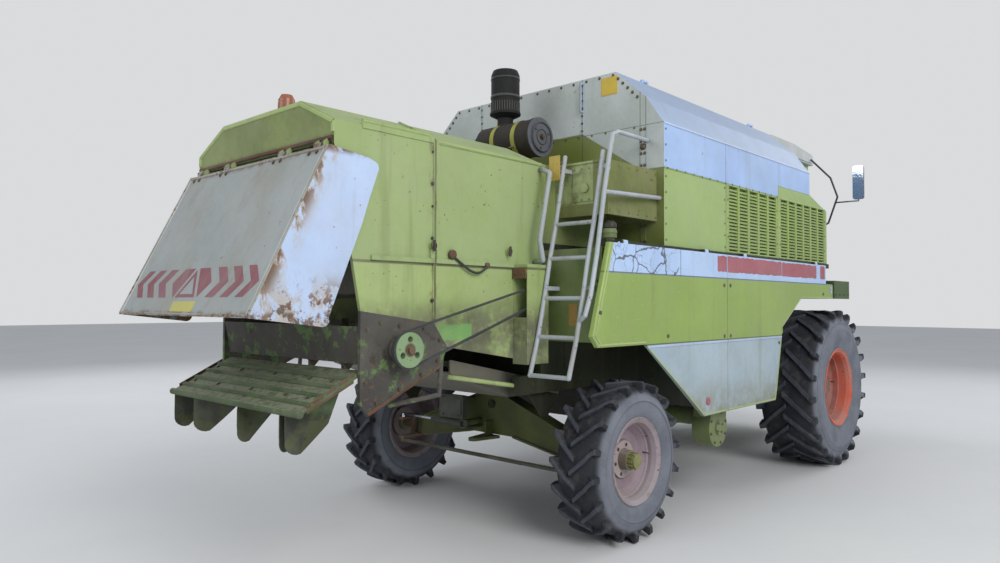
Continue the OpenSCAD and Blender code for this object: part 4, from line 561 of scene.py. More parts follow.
dress(rim_look("front_rim", FRONT, 0.18, ((150, 82, 62), (112, 62, 52)),
               ((214, 96, 62), (190, 78, 52)), ((170, 74, 54), (140, 60, 48)),
               0.11, ((120, 84, 66), (92, 66, 54))), "rim_front_left", "rim_front_right")
dress(rim_look("rear_rim", REAR, 0.145, ((176, 160, 160), (150, 134, 136)),
               ((158, 150, 158), (132, 108, 116)), ((150, 132, 142), (126, 106, 118)),
               0.075, ((134, 138, 72), (104, 108, 60))), "rim_rear_left", "rim_rear_right")


def strips(count, rings, sides):
    """Quads between each ring of points and the next; the last ring is followed by the first."""
    return [[j * sides + k, j * sides + (k + 1) % sides, (j + 1) % rings * sides + (k + 1) % sides,
             (j + 1) % rings * sides + k] for j in range(count) for k in range(sides)]


class Build:
    """Collects plates, bolts, tubes and strips in one joined mesh."""

    def __init__(self):
        self.verts, self.faces, self.mats, self.soft = [], [], [], []

    def add(self, verts, faces, mat=0, soft=False):
        base = len(self.verts)
        self.verts += [Vector(v) for v in verts]
        self.faces += [[base + i for i in f] for f in faces]
        self.mats += [mat] * len(faces)
        self.soft += [soft] * len(faces)

    def prism(self, loop, shift, mat=0):
        """A flat loop of points made solid along a shift."""
        n = len(loop)
        verts = [Vector(p) for p in loop] + [Vector(p) + Vector(shift) for p in loop]
        faces = [list(range(n))[::-1], list(range(n, 2 * n))]
        faces += [[i, (i + 1) % n, n + (i + 1) % n, n + i] for i in range(n)]
        self.add(verts, faces, mat)

    def bead(self, a, b, normal, width, height, mat=0):
        """A rounded strip from a to b that stands up along its normal."""
        a, b, normal = Vector(a), Vector(b), Vector(normal).normalized()
        across = (b - a).cross(normal).normalized() * width / 2
        up = normal * height
        shape = [(-1, 0), (-0.92, 0.6), (-0.6, 1), (0.6, 1), (0.92, 0.6), (1, 0)]
        self.prism([a + across * s + up * t for s, t in shape], b - a, mat)

    def bolt(self, p, normal, r=0.011, h=0.008, mat=0):
        """A hexagon head on a round washer, turned at random."""
        p, n = Vector(p), Vector(normal).normalized()
        u = n.orthogonal().normalized()
        v = n.cross(u)
        turn = random.random() * 3.0
        wider, washer = 1.45, n * 0.002
        self.prism([p + (u * c + v * s) * r * wider for c, s in circle(12)], washer, mat)
        self.prism([p + washer + (u * c + v * s) * r for c, s in circle(6, turn)], n * h, mat)

    def row(self, a, b, n, normal, r=0.011, h=0.008, mat=0):
        """n bolts from a to b."""
        for i in range(n):
            self.bolt(Vector(a).lerp(Vector(b), i / (n - 1)), normal, r, h, mat)

    def tube(self, points, r, sides=10, mat=0, round_to=0.0):
        """A pipe along a path; round_to softens the corners by that length."""
        pts = [Vector(p) for p in points]
        if round_to:
            path = [pts[0]]
            for a, b, c in zip(pts, pts[1:], pts[2:]):
                k = min(round_to, (b - a).length * 0.45, (c - b).length * 0.45)
                s, e = b + (a - b).normalized() * k, b + (c - b).normalized() * k
                path += [(1 - t) ** 2 * s + 2 * t * (1 - t) * b + t * t * e
                         for t in (0, 0.2, 0.4, 0.6, 0.8, 1)]
            pts = path + [pts[-1]]
        u = (pts[1] - pts[0]).normalized().orthogonal().normalized()
        verts, n = [], len(pts)
        for i, p in enumerate(pts):
            d = (pts[min(i + 1, n - 1)] - pts[max(i - 1, 0)]).normalized()
            u = (u - d * u.dot(d)).normalized()
            v = d.cross(u)
            verts += [p + (u * c + v * s) * r for c, s in circle(sides)]
        faces = strips(n - 1, n, sides)
        faces += [list(range(sides))[::-1], list(range((n - 1) * sides, n * sides))]
        self.add(verts, faces, mat, True)

    def turned(self, centre, axis, profile, sides=32, mat=0):
        """A closed profile of (radius, height) turned round an axis."""
        base, n = Vector(centre), Vector(axis).normalized()
        u = n.orthogonal().normalized()
        v = n.cross(u)
        verts = [base + (u * c + v * s) * max(r, 1e-4) + n * h for r, h in profile for c, s in circle(sides)]
        self.add(verts, strips(len(profile), len(profile), sides), mat, True)

    def button(self, centre, axis, sizes, sides=20, mat=0):
        """A round head: sizes are its radius and height at the rim, then at the crown."""
        r, rim, crown, top = sizes
        self.turned(centre, axis, [(0.0, 0.0), (r, 0.0), (r, rim), (crown, top), (0.0, top)], sides, mat)

    def ring(self, centre, axis, inner, outer, h, sides=20, mat=0):
        """A flat ring of height h."""
        self.turned(centre, axis, [(inner, 0.0), (outer, 0.0), (outer, h), (inner, h)], sides, mat)

    def plate(self, centre, right, up, w, h, t, mat=0, corner=0.008):
        """A plate with round corners, its back on the centre point."""
        c, right, up = Vector(centre), Vector(right).normalized(), Vector(up).normalized()
        loop = []
        for q, (sx, sy) in enumerate(((1, 1), (-1, 1), (-1, -1), (1, -1))):
            for k in range(4):
                a = math.pi / 2 * q + math.pi / 6 * k
                loop.append(c + right * (sx * (w / 2 - corner) + corner * math.cos(a)) +
                            up * (sy * (h / 2 - corner) + corner * math.sin(a)))
        self.prism(loop, right.cross(up) * t, mat)

    def make(self, name, body, mats, slot=None, origin=(0, 0, 0), replaces=(), bevel=0.0):
        mesh = bpy.data.meshes.new(name)
        origin = Vector(origin)
        mesh.from_pydata([v - origin for v in self.verts], [], self.faces)
        for face, mat, soft in zip(mesh.polygons, self.mats, self.soft):
            face.material_index = mat
            face.use_smooth = soft
        work = bmesh.new()
        work.from_mesh(mesh)
        bmesh.ops.recalc_face_normals(work, faces=work.faces)
        work.to_mesh(mesh)
        work.free()
        for mat in mats:
            mesh.materials.append(mat)
        obj = bpy.data.objects.new(name, mesh)
        bpy.context.scene.collection.objects.link(obj)
        obj.location = origin
        if bevel:
            soft_edges = obj.modifiers.new("soft edges", "BEVEL")
            soft_edges.width, soft_edges.segments, soft_edges.limit_method = bevel, 2, "ANGLE"
            soft_edges.angle_limit = math.radians(35)
        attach(obj, body)
        if replaces:
            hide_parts(*replaces)


# Tyres: carcass with moulded sidewall rings, and lugs over the shoulder that slope by lean
def make_tyre(end, word, spec, side, lean):
    r, w, bead, lug_w = spec["r"], spec["w"], spec["bead"], spec["lug_w"]
    edge = w / 2
    s = r - LUG_HEIGHT
    h = s - bead
    # Steps out from the bead, each with its distance in from the tyre's widest side
    foot = ((0.0004, 0.060), (0.012, 0.048), (0.022, 0.036), (0.030, 0.036))
    wall = ((0.16, 0.026), (0.30, 0.013), (0.46, 0.005), (0.56, 0.004), (0.58, 0.001), (0.61, 0.001),
            (0.63, 0.005), (0.76, 0.016), (0.88, 0.036), (0.96, 0.058))
    half = [(bead + rise, edge - inset) for rise, inset in foot]
    half += [(bead + share * h, edge - inset) for share, inset in wall]
    half += [(s, edge - 0.082), (s + 0.004, w / 6), (s + 0.005, 0.0)]
    seat = [(bead + 0.0004, -(edge - 0.075)), (bead + 0.0004, edge - 0.075)]
    loop = half + [(a, -b) for a, b in half[-2::-1]] + seat
    steps, b = 96, Build()
    centre = at(spec["x"], side * spec["y"], r)

    def spot(angle, radius, across):
        return centre + Vector((radius * math.cos(angle), side * across, -side * radius * math.sin(angle)))

    verts = [spot(2 * math.pi * k / steps, rad, y) for k in range(steps) for rad, y in loop]
    b.add(verts, strips(steps, steps, len(loop)), 0, True)
    # Stations along a lug: across, outer radius, across at its foot, radius at its foot, side inset
    end_r = 0.87 * r
    stations = [(-0.018, r - 0.002, -0.018, s - 0.004, 0.010),
                (0.25 * w, r - 0.0005, 0.25 * w, s - 0.004, 0.008),
                (edge - 0.070, r, edge - 0.085, s - 0.006, 0.007),
                (edge - 0.022, r - 0.003, edge - 0.09, s - 0.012, 0.007),
                (edge - 0.006, r - 0.014, edge - 0.07, s - 0.02, 0.006),
                (edge - 0.001, r - 0.050, edge - 0.045, s - 0.05, 0.005),
                (edge - 0.004, end_r + 0.006, edge - 0.03, end_r + 0.002, 0.004),
                (edge - 0.018, end_r - 0.008, edge - 0.03, end_r - 0.012, 0.004)]
    n = len(stations)
    faces = [[4 * j + k, 4 * j + k + 1, 4 * j + k + 5, 4 * j + k + 4] for j in range(n - 1) for k in range(3)]
    faces += [[4 * j, 4 * j + 4, 4 * j + 7, 4 * j + 3] for j in range(n - 1)]
    faces += [[3, 2, 1, 0], [4 * n - 4, 4 * n - 3, 4 * n - 2, 4 * n - 1]]
    for flip, offset in ((1, 0), (-1, 0.5)):
        for i in range(spec["lugs"]):
            start = (i + offset) * 2 * math.pi / spec["lugs"]
            verts = []
            for across, outer, foot_y, base, inset in stations:
                run = lean * min(max(across, 0.0), edge - 0.03)
                for o, rad, y in ((-0.004, base, foot_y), (inset, outer, across),
                                  (lug_w - inset, outer, across), (lug_w + 0.004, base, foot_y)):
                    verts.append(spot(start + (run + o) / r, rad, flip * y))
            b.add(verts, faces)
    # Small grip bars round the bead on the outer sidewall
    bar = ((bead + 0.034, edge - 0.040), (bead + 0.034, edge - 0.031), (bead + 0.062, edge - 0.0255),
           (bead + 0.062, edge - 0.038))
    bars = 60
    for k in range(bars):
        verts = [spot(2 * math.pi * k / bars + da, rad, y) for da in (0.0, 0.022) for rad, y in bar]
        b.add(verts, [[0, 1, 2, 3], [7, 6, 5, 4], [0, 4, 5, 1], [1, 5, 6, 2], [2, 6, 7, 3], [3, 7, 4, 0]])
    tread = tyre_look(f"{end}_tyre_rubber_{word}", spec)
    b.make(f"{end}_tyre_{word}", f"wheel_{end}_{word}", [tread], "tyre", centre,
           (f"tyre_{end}_{word}",), 0.0035)


# Wheel nuts in front, dark holes with small nuts at the rear, and the valve on the rim's barrel
def wheel_nuts(end, word, spec, side, face, ring, n):
    b = Build()
    out = Vector((0, side, 0))
    hub = at(spec["x"], side * (spec["y"] + face), spec["r"])
    for c, s in circle(n, 0.2):
        p = hub + Vector((ring * c, 0, ring * s))
        if end == "front":
            b.bolt(p, out, 0.015, 0.017)
            b.turned(p, out, [(0.0, 0.019), (0.0075, 0.019), (0.0075, 0.030), (0.0, 0.030)], 10)
        else:
            b.turned(p, out, [(0.0, 0.0), (0.012, 0.0), (0.014, 0.003), (0.0, 0.0012)], 16, 1)
            b.bolt(p + out * 0.001, out, 0.006, 0.005)
    v = at(spec["x"], side * (spec["y"] + 0.10), spec["r"]) + Vector((spec["bead"] - 0.06, 0, 0.02))
    b.tube([v - out * 0.05, v, v + out * 0.03 - Vector((0.012, 0, 0))], 0.005, 8, 1)
    b.make(f"{end}_wheel_nuts_{word}", f"wheel_{end}_{word}", [bolt_iron, grease], "dark_steel")


for word, side in (("left", 1), ("right", -1)):
    make_tyre("front", word, FRONT, side, -side)
    make_tyre("rear", word, REAR, side, side)
    wheel_nuts("front", word, FRONT, side, 0.064, 0.147, 10)
    wheel_nuts("rear", word, REAR, side, 0.054, 0.112, 6)


# Doors: edge rims, lower lips, red stripe, reflector, latches and hinge screws
def door_trim(word, side):
    out = (0, side, 0)
    mats = [pale_edge, white, red, bolt_iron]
    screw = (0.017, 0.003, 0.012, 0.006)

    def q(x, z):
        return at(x, side * DOOR_SIDE, z)

    def rims(b, pairs):
        for start, end in pairs:
            b.bead(q(*start), q(*end), out, 0.014, 0.004)

    rear = Build()
    for dx in (0.014, 0.046):
        rear.bead(q(-4.310 + dx, 2.222), q(-4.520 + dx, 1.556), out, 0.018, 0.006 - dx * 0.05)
        rear.bead(q(-4.520 + dx, 1.556), q(-4.450 + dx, 1.484), out, 0.018, 0.006)
    rear.bead(q(-4.445, 1.492), q(-3.835, 1.492), out, 0.016, 0.005)
    rear.bead(q(-3.80, 1.455), q(-2.478, 1.455), out, 0.020, 0.006, 1)
    rims(rear, [((-3.812, 1.462), (-2.914, 0.850)), ((-2.905, 0.848), (-2.478, 0.848))])
    rear.button(q(-4.19, 2.214), out, (0.020, 0.003, 0.010, 0.006), 20, 1)
    for x, z in ((-4.42, 1.72), (-2.53, 1.95), (-2.53, 1.50), (-3.5, 1.53)):
        rear.button(q(x, z), out, screw, 18, 3)
    reflector = [(0.0, 0.0), (0.034, 0.0), (0.036, 0.004), (0.030, 0.009), (0.0, 0.011)]
    rear.turned(q(-2.844, 0.958), out, reflector, 28, 2)
    rear.make(f"rear_door_trim_{word}", f"door_rear_{word}", mats, "green_paint")
    front = Build()
    front.bead(q(-2.462, 1.455), q(-1.285, 1.455), out, 0.020, 0.006, 1)
    rims(front, [((-2.462, 0.848), (-1.444, 0.848)), ((-1.443, 0.850), (-1.408, 0.955)),
                 ((-1.408, 0.955), (-1.279, 1.470)), ((-1.262, 1.490), (-1.262, 1.552)),
                 ((-1.262, 1.556), (-0.762, 1.846)), ((-0.755, 1.858), (0.190, 1.858))])
    front.bead(q(0.06, 1.955), q(0.195, 1.955), out, 0.006, 0.003)
    for x, z in ((-2.41, 1.95), (-2.41, 1.50), (-1.34, 1.40), (-0.1, 1.9)):
        front.button(q(x, z), out, screw, 18, 3)
    front.plate(q(0.155, 1.945), (-side, 0, 0), UP, 0.05, 0.075, 0.003, 1)
    front.make(f"front_door_trim_{word}", f"door_front_{word}", mats, "green_paint")

    # The stripe is cut into short lengths with chipped edges
    def stripe(b, x0, x1):
        bottom, top = 2.066, 2.212
        n = max(2, int((x1 - x0) / 0.035))
        low = [bottom + random.choice((0, 0, 0, 0.003, 0.007)) for _ in range(n + 1)]
        high = [top - random.choice((0, 0, 0, 0.004, 0.009)) for _ in range(n + 1)]
        xs = [x0 + (x1 - x0) * i / n for i in range(n + 1)]
        b.prism([q(x, z) for x, z in zip(xs, low)] + [q(x, z) for x, z in zip(xs[::-1], high[::-1])],
                (0, side * 0.0008, 0))

    tail, lead = Build(), Build()
    stripe(tail, -2.655, -2.478)
    for x0, x1 in ((-2.462, -1.262), (-1.252, -0.306), (-0.192, -0.048)):
        stripe(lead, x0, x1)
    tail.make(f"stripe_rear_{word}", f"door_rear_{word}", [red], "white_paint")
    lead.make(f"stripe_front_{word}", f"door_front_{word}", [red], "white_paint")


door_trim("right", -1)
door_trim("left", 1)

# Flap: warning band of angled bars round a blank triangle, blank label, folded edges and hinge screws
down = Vector((-0.49, 0, -1.0)).normalized()
out_flap = Vector((-1.0, 0, 0.49)).normalized()


def flap(y, v):
    """A point on the flap's sheet, v metres below its hinge."""
    return at(FLAP_X, y, FLAP_Z) + down * v


def flap_markings():
    b = Build()
    top, mid, low = 0.788, 0.888, 0.988
    thin = out_flap * 0.0008
    for s in (1, -1):
        outline = ((0.030, top), (0.165, top), (0.265, mid), (0.165, low))
        b.prism([flap(s * y, v) for y, v in outline], thin)
        for inner, wide in ((0.268, 0.105), (0.452, 0.098), (0.630, 0.088)):
            outline = ((inner, top), (inner + wide, top), (min(inner + 0.1 + wide, 0.862), mid),
                       (inner + wide, low), (inner, low), (min(inner + 0.1, 0.85), mid))
            b.prism([flap(s * y, v) for y, v in outline], thin)
    tri = [(0.0, top + 0.012), (0.132, low), (-0.132, low)]
    hole = [(0.0, top + 0.058), (0.090, low - 0.022), (-0.090, low - 0.022)]
    for i in range(3):
        j = (i + 1) % 3
        b.prism([flap(*tri[i]), flap(*tri[j]), flap(*hole[j]), flap(*hole[i])], thin)
    b.plate(flap(-0.035, 1.050), RIGHTWARD, tuple(-down), 0.30, 0.070, 0.0016, 1)
    b.make("flap_markings", "hood_flap", [flap_red, label], "white_paint")


def flap_edges():
    b = Build()
    for s in (1, -1):
        b.bead(flap(s * 0.872, 0.004), flap(s * 0.872, 1.105), out_flap, 0.020, 0.007, 1)
        b.bead(flap(s * 0.852, 0.010), flap(s * 0.852, 1.098), out_flap, 0.010, 0.004, 2)
    b.bead(flap(-0.86, 1.100), flap(0.86, 1.100), out_flap, 0.014, 0.006, 1)
    b.bead(flap(-0.86, 0.018), flap(0.86, 0.018), out_flap, 0.022, 0.006, 1)
    for y in (0.35, 0.75, -0.35, -0.75):
        b.row(flap(y - 0.04, 0.045), flap(y + 0.04, 0.045), 2, out_flap, 0.010, 0.007)
    b.make("flap_edges", "hood_flap", [bolt_iron, chipped, roof_white], "white_paint")


# Hood: screws along the seams, roof edge and ledge, rear seam strip, latches' handles
def hood_screws():
    b = Build()
    lip = HOOD_SIDE + 0.006
    for s in (1, -1):
        out = (0, s, 0)
        for z, r in ((1.80, 0.010), (2.21, 0.008), (2.42, 0.006), (2.57, 0.009), (2.78, 0.006)):
            b.bolt(at(-5.432, s * lip, z), out, r, 0.005)
        b.row(at(-4.345, s * HOOD_SIDE, 1.42), at(-4.345, s * HOOD_SIDE, 2.80), 6, out, 0.006, 0.004, 1)
        # Folded strips beside the seam and along the roof's edge
        b.bead(at(-5.380, s * 0.859, 2.09), at(-5.380, s * 0.859, 2.84), out, 0.022, 0.005, 4)
        b.bead(at(-5.39, s * lip, 2.855), at(-4.36, s * lip, 2.850), out, 0.016, 0.004, 4)
        b.bead(at(-6.0, s * lip, 2.885), at(-5.47, s * lip, 2.885), out, 0.016, 0.004, 4)
        for x in (-5.44, -4.70):
            b.plate(at(x, s * 0.890, 2.160), (-s, 0, 0), UP, 0.016, 0.075, 0.012, 2)
            boss = [(0.0, 0.0), (0.026, 0.0), (0.026, 0.004), (0.0, 0.006)]
            b.turned(at(x, s * 0.889, 2.160), out, boss, 20)
    b.bead(at(HOOD_REAR, -0.84, 2.756), at(HOOD_REAR, 0.84, 2.756), REARWARD, 0.026, 0.012, 3)
    # Folded frame round the rear wall
    rim = [(-0.846, 2.785), (-0.846, 2.848), (-0.494, 3.012), (0.494, 3.012), (0.846, 2.848), (0.846, 2.785)]
    for start, end in zip(rim, rim[1:]):
        b.bead(at(HOOD_REAR, *start), at(HOOD_REAR, *end), REARWARD, 0.030, 0.007, 4)
    b.make("hood_screws", "root", [bolt_iron, bolt_green, steel, rust_edge, pale_edge], "green_paint")


# Bent handle with its rusty eyes under the ledge, and the rusty end of a rail beside the belt guard
def hood_handle():
    b = Build()
    bends = ((-5.262, -0.882, 2.100), (-5.20, -0.884, 2.062), (-5.10, -0.886, 2.004), (-5.02, -0.886, 1.988),
             (-4.95, -0.884, 2.024), (-4.925, -0.880, 2.052))
    b.tube([at(*p) for p in bends], 0.009, 10, 0, 0.04)
    for x, z, r in ((-5.262, 2.110, 0.034), (-4.925, 2.052, 0.020)):
        b.turned(at(x, -0.8745, z), RIGHTWARD, [(0.0, 0.0), (r, 0.0), (r * 0.9, 0.014), (0.0, 0.018)], 20, 1)
    end = ((-4.645, 1.965), (-4.645, 2.044), (-4.633, 2.044), (-4.633, 1.965))
    b.prism([at(x, -0.861, z) for x, z in end], (0, -0.128, 0), 1)
    b.row(at(-4.645, -0.90, 2.00), at(-4.645, -0.96, 2.00), 2, REARWARD, 0.008, 0.006, 1)
    b.make("hood_handle", "root", [rubber, rust_edge], "dark_steel")


# Tank: bolted seams of the rear wall, side seams, blank plate, clamps at the corners
def tank_screws():
    b = Build()
    wall = TANK_REAR - 0.004
    for y in (-1.216, -1.250, 1.216, 1.250):
        b.row(at(wall, y, 2.92), at(wall, y, 3.22), 4, REARWARD, 0.010, 0.006, 1)
        b.row(at(wall, y, 2.29), at(wall, y, 2.42), 2, REARWARD, 0.010, 0.006, 1)
    for y in (-0.616, 0.616):
        b.row(at(wall, y, 3.30), at(wall, y, 3.70), 7, REARWARD, 0.008, 0.005, 1)
    b.row(at(TANK_REAR, -1.15, 3.245), at(TANK_REAR, 1.15, 3.245), 17, REARWARD, 0.007, 0.004, 1)
    for s in (1, -1):
        out, side = (0, s, 0), s * TANK_SIDE
        b.row(at(-3.40, s * 1.434, 2.885), at(-1.22, s * 1.434, 2.885), 16, out, 0.006, 0.003)
        b.row(at(-2.385, side, 2.30), at(-2.385, side, 2.84), 6, out, 0.007, 0.004)
        b.row(at(-3.42, side, 2.30), at(-3.42, side, 3.20), 8, out, 0.007, 0.004)
        b.bead(at(-3.448, side, 3.250), at(-0.322, side, 3.250), (0, s, 0.35), 0.020, 0.003, 2)
    for s in (1, -1):
        b.row(at(TANK_REAR, s * 0.99, 3.69), at(TANK_REAR, s * 1.18, 3.50), 5, REARWARD, 0.010, 0.006, 1)
        b.row(at(TANK_REAR, s * 0.10, 3.73), at(TANK_REAR, s * 0.94, 3.73), 7, REARWARD, 0.009, 0.006, 1)
        for z in (3.075, 2.635):
            b.turned(at(TANK_REAR - 0.002, s * 1.235, z), REARWARD,
                     [(0.0, 0.0), (0.030, 0.0), (0.026, 0.012), (0.012, 0.024), (0.0, 0.026)], 20, 1)
    b.plate(at(TANK_REAR, -0.900, 3.645), RIGHTWARD, UP, 0.165, 0.155, 0.003, 3)
    b.plate(at(TANK_REAR - 0.0035, -0.900, 3.645), RIGHTWARD, UP, 0.150, 0.140, 0.0012, 3)
    b.make("tank_screws", "root", [bolt_green, bolt_iron, white, yellow], "white_paint")


# Louvre covers: raised frames round the slots on both sides
def louvre_frames():
    b = Build()
    bottom, top = 2.262, 2.876
    for s, x0, x1 in ((-1, -2.34, -1.20), (-1, -1.16, 0.15), (1, -2.34, -1.20), (1, -1.16, -0.38)):
        out, side = (0, s, 0), s * TANK_SIDE
        for z in (bottom, top):
            b.bead(at(x0 - 0.006, side, z), at(x1 + 0.006, side, z), out, 0.012, 0.004)
        for x in (x0 - 0.008, x1 + 0.008):
            b.bead(at(x, side, bottom), at(x, side, top), out, 0.012, 0.004)
        for x in (x0 + 0.02, x1 - 0.02):
            b.row(at(x, side, 2.40), at(x, side, 2.74), 3, out, 0.007, 0.004, 1)
    b.make("louvre_frames", "root", [pale_edge, bolt_green], "green_paint")


# Engine bay: wing door screws, hinge, plates beside the ladder, fuel tank plate, pipe on the bay
def bay_fittings():
    b = Build()
    for s in (1, -1):
        near, far = sorted((s * 1.057, s * 1.263))
        for z in (2.572, 2.808):
            b.row(at(BAY_REAR, near, z), at(BAY_REAR, far, z), 4, REARWARD, 0.006, 0.004)
        for z in (2.48, 2.83):
            b.row(at(-3.47, s * BAY_SIDE, z), at(-4.11, s * BAY_SIDE, z), 6, (0, s, 0), 0.007, 0.004)
    b.row(at(-4.310, -0.80, 2.84), at(-4.310, 0.80, 2.84), 10, REARWARD, 0.007, 0.004)
    b.plate(at(-4.262, -0.955, 2.820), RIGHTWARD, UP, 0.105, 0.190, 0.004, 1)
    b.tube([at(-4.258, -0.93, 2.78), at(-4.255, -1.02, 2.78)], 0.006, 8, 2)
    b.tube([at(-4.258, -0.93, 2.86), at(-4.248, -1.02, 2.86)], 0.006, 8, 2)
    b.plate(at(FRAME_REAR, -1.160, 1.700), RIGHTWARD, UP, 0.075, 0.165, 0.003, 3)
    for y in (-1.380, -0.92):
        b.row(at(FRAME_REAR, y, 1.56), at(FRAME_REAR, y, 2.14), 4, REARWARD, 0.009, 0.006, 2)
    # Dark cap with its guard ring on the filler
    x, y = -4.03, -1.30
    b.turned(at(x, y, 2.350), UP, [(0.0, 0.0), (0.050, 0.0), (0.054, 0.010), (0.050, 0.040), (0.034, 0.058),
                                   (0.0, 0.062)], 28, 5)
    for c, s in circle(8):
        b.bead(at(x + 0.051 * c, y + 0.051 * s, 2.360), at(x + 0.048 * c, y + 0.048 * s, 2.388), (c, s, 0),
               0.010, 0.006, 5)
    # Coolant pipe and clamps behind the air cleaner
    bends = ((-3.62, -0.30, 2.858), (-3.62, -0.30, 2.96), (-3.62, -0.12, 3.02), (-3.74, 0.04, 3.10),
             (-3.86, 0.13, 3.17))
    b.tube([at(*p) for p in bends], 0.045, 16, 4, 0.07)
    for p, n in ((at(-3.62, -0.30, 2.87), UP), (at(-3.835, 0.115, 3.155), (-0.7, 0.35, 0.4))):
        b.ring(p, n, 0.043, 0.050, 0.014, 20, 2)
    b.make("bay_fittings", "root", [bolt_green, yellow, bolt_iron, ochre, rubber, grease], "green_paint")


# Air cleaner: end cap rings with the centre nut, band screws, ribs of the pre-cleaner
def cleaner_details():
    b = Build()
    end = at(-3.90, -0.524, 3.19)
    b.ring(end, RIGHTWARD, 0.118, 0.128, 0.010, 40)
    b.ring(end, RIGHTWARD, 0.060, 0.068, 0.006, 32)
    b.bolt(end, RIGHTWARD, 0.020, 0.022, 1)
    for k in range(3):
        a = 2.1 * k + 0.4
        b.bolt(end + Vector((0.095 * math.cos(a), 0, 0.095 * math.sin(a))), RIGHTWARD, 0.008, 0.006, 1)
    for y in (-0.33, -0.09):
        b.tube([at(-4.068, y - 0.02, 3.10), at(-4.068, y + 0.02, 3.10)], 0.011, 8, 1)
    top = at(-3.90, -0.107, 3.45)
    for c, s in circle(36):
        d = Vector((c, s, 0))
        b.bead(top + d * 0.126, top + d * 0.126 + Vector((0, 0, 0.10)), d, 0.008, 0.004)
    b.ring(top + Vector((0, 0, 0.135)), UP, 0.124, 0.131, 0.022, 40)
    b.ring(top + Vector((0, 0, 0.30)), UP, 0.124, 0.129, 0.014, 40)
    b.make("cleaner_details", "root", [plastic, bolt_iron], "grey_plastic")


# Chopper: bolts on the side plates, bearing flanges, worn lower edge
def chopper_bolts():
    b = Build()
    for s in (1, -1):
        out, side = (0, s, 0), s * HOOD_SIDE
        for x, z in ((-5.95, 1.62), (-5.96, 1.30), (-5.88, 1.17), (-5.70, 1.24), (-5.52, 1.32), (-5.38, 1.40),
                     (-5.36, 1.54), (-5.50, 1.62), (-5.70, 1.64), (-5.85, 1.66)):
            b.bolt(at(x, side, z), out, 0.011, 0.008)
        flange = [(0.028, 0.0), (0.075, 0.0), (0.075, 0.012), (0.045, 0.024), (0.028, 0.024)]
        b.turned(at(ROTOR_X, side, ROTOR_Z), out, flange, 32, 1)
        for c, d in circle(4, math.pi / 4):
            b.bolt(at(ROTOR_X + 0.062 * c, s * 0.872, ROTOR_Z + 0.062 * d), out, 0.009, 0.007)
        b.bead(at(-5.94, side, 1.105), at(-5.36, side, 1.362), out, 0.020, 0.006, 2)
    b.make("chopper_bolts", "root", [bolt_iron, steel, rust_edge], "dark_steel")


# Spreader: fin screws and the adjusting plates at its sides
def spreader_fittings():
    b = Build()
    for y in (0.735, 0.386, -0.064, -0.482, -0.718):
        for f in (0.3, 0.7):
            b.bolt(at(-5.958 - 0.427 * f, y + 0.02, 1.3755 - 0.216 * f), (-0.45, 0, 0.89), 0.010, 0.007)
    for s in (1, -1):
        outline = ((-6.02, 1.36), (-6.34, 1.20), (-6.34, 1.15), (-6.02, 1.30))
        b.prism([at(x, s * 0.826, z) for x, z in outline], (0, -s * 0.005, 0), 1)
    b.make("spreader_fittings", "spreader", [bolt_iron, rust_edge], "green_paint")


# Grain elevators: boot bolts, bearing nuts and strap lines
def elevator_bolts():
    b = Build()
    x, z = -2.42, 0.67
    for s in (1, -1):
        out = (0, s, 0)
        for c, d in circle(8, 0.3):
            b.bolt(at(x + 0.145 * c, s * 1.370, z + 0.145 * d), out, 0.010, 0.007)
        for c, d in circle(4, 0.6):
            b.bolt(at(x + 0.048 * c, s * 1.388, z + 0.048 * d), out, 0.008, 0.006)
        b.row(at(-2.53, s * 1.384, 0.9116), at(-2.27, s * 1.384, 0.9116), 4, out, 0.007, 0.006)
        b.bead(at(-2.30, s * 1.370, 1.10), at(-2.225, s * 1.370, 2.00), out, 0.018, 0.004, 1)
    b.make("elevator_bolts", "root", [bolt_iron, pale_edge], "green_paint")


# Rear axle and chassis: long light bar, grey box, hydraulic pipes
def long_bar():
    b = Build()
    b.tube([at(-5.13, -0.70, 1.268), at(-4.52, -0.79, 1.165), at(-4.02, -0.79, 1.082)], 0.017, 12)
    b.tube([at(-4.52, -0.79, 1.165), at(-4.52, -0.79, 1.105)], 0.012, 10)
    b.make("long_bar", "root", [pale_edge], "green_paint")


def axle_box():
    b = Build()
    b.plate(at(-4.115, 0.285, 0.875), RIGHTWARD, UP, 0.30, 0.20, 0.055, 0, 0.02)
    b.plate(at(-4.171, 0.285, 0.875), RIGHTWARD, UP, 0.26, 0.16, 0.006, 0, 0.02)
    shelf = ((-4.115, 0.17, 0.96), (-4.115, 0.40, 0.96), (-3.90, 0.36, 0.935), (-3.90, 0.21, 0.935))
    b.prism([at(*p) for p in shelf], (0, 0, -0.012))
    for y in (0.19, 0.38):
        for z in (0.80, 0.95):
            b.bolt(at(-4.176, y, z), REARWARD, 0.008, 0.006, 1)
    b.make("axle_box", "root", [plastic, bolt_iron], "grey_plastic")


def chassis_pipes():
    b = Build()
    for y in (0.70, 0.66, -0.70):
        b.tube([at(x, y, 1.262) for x in (-4.30, -3.30, -1.90)], 0.009, 8, 0, 0.05)
    b.make("chassis_pipes", "root", [grease], "dark_steel")


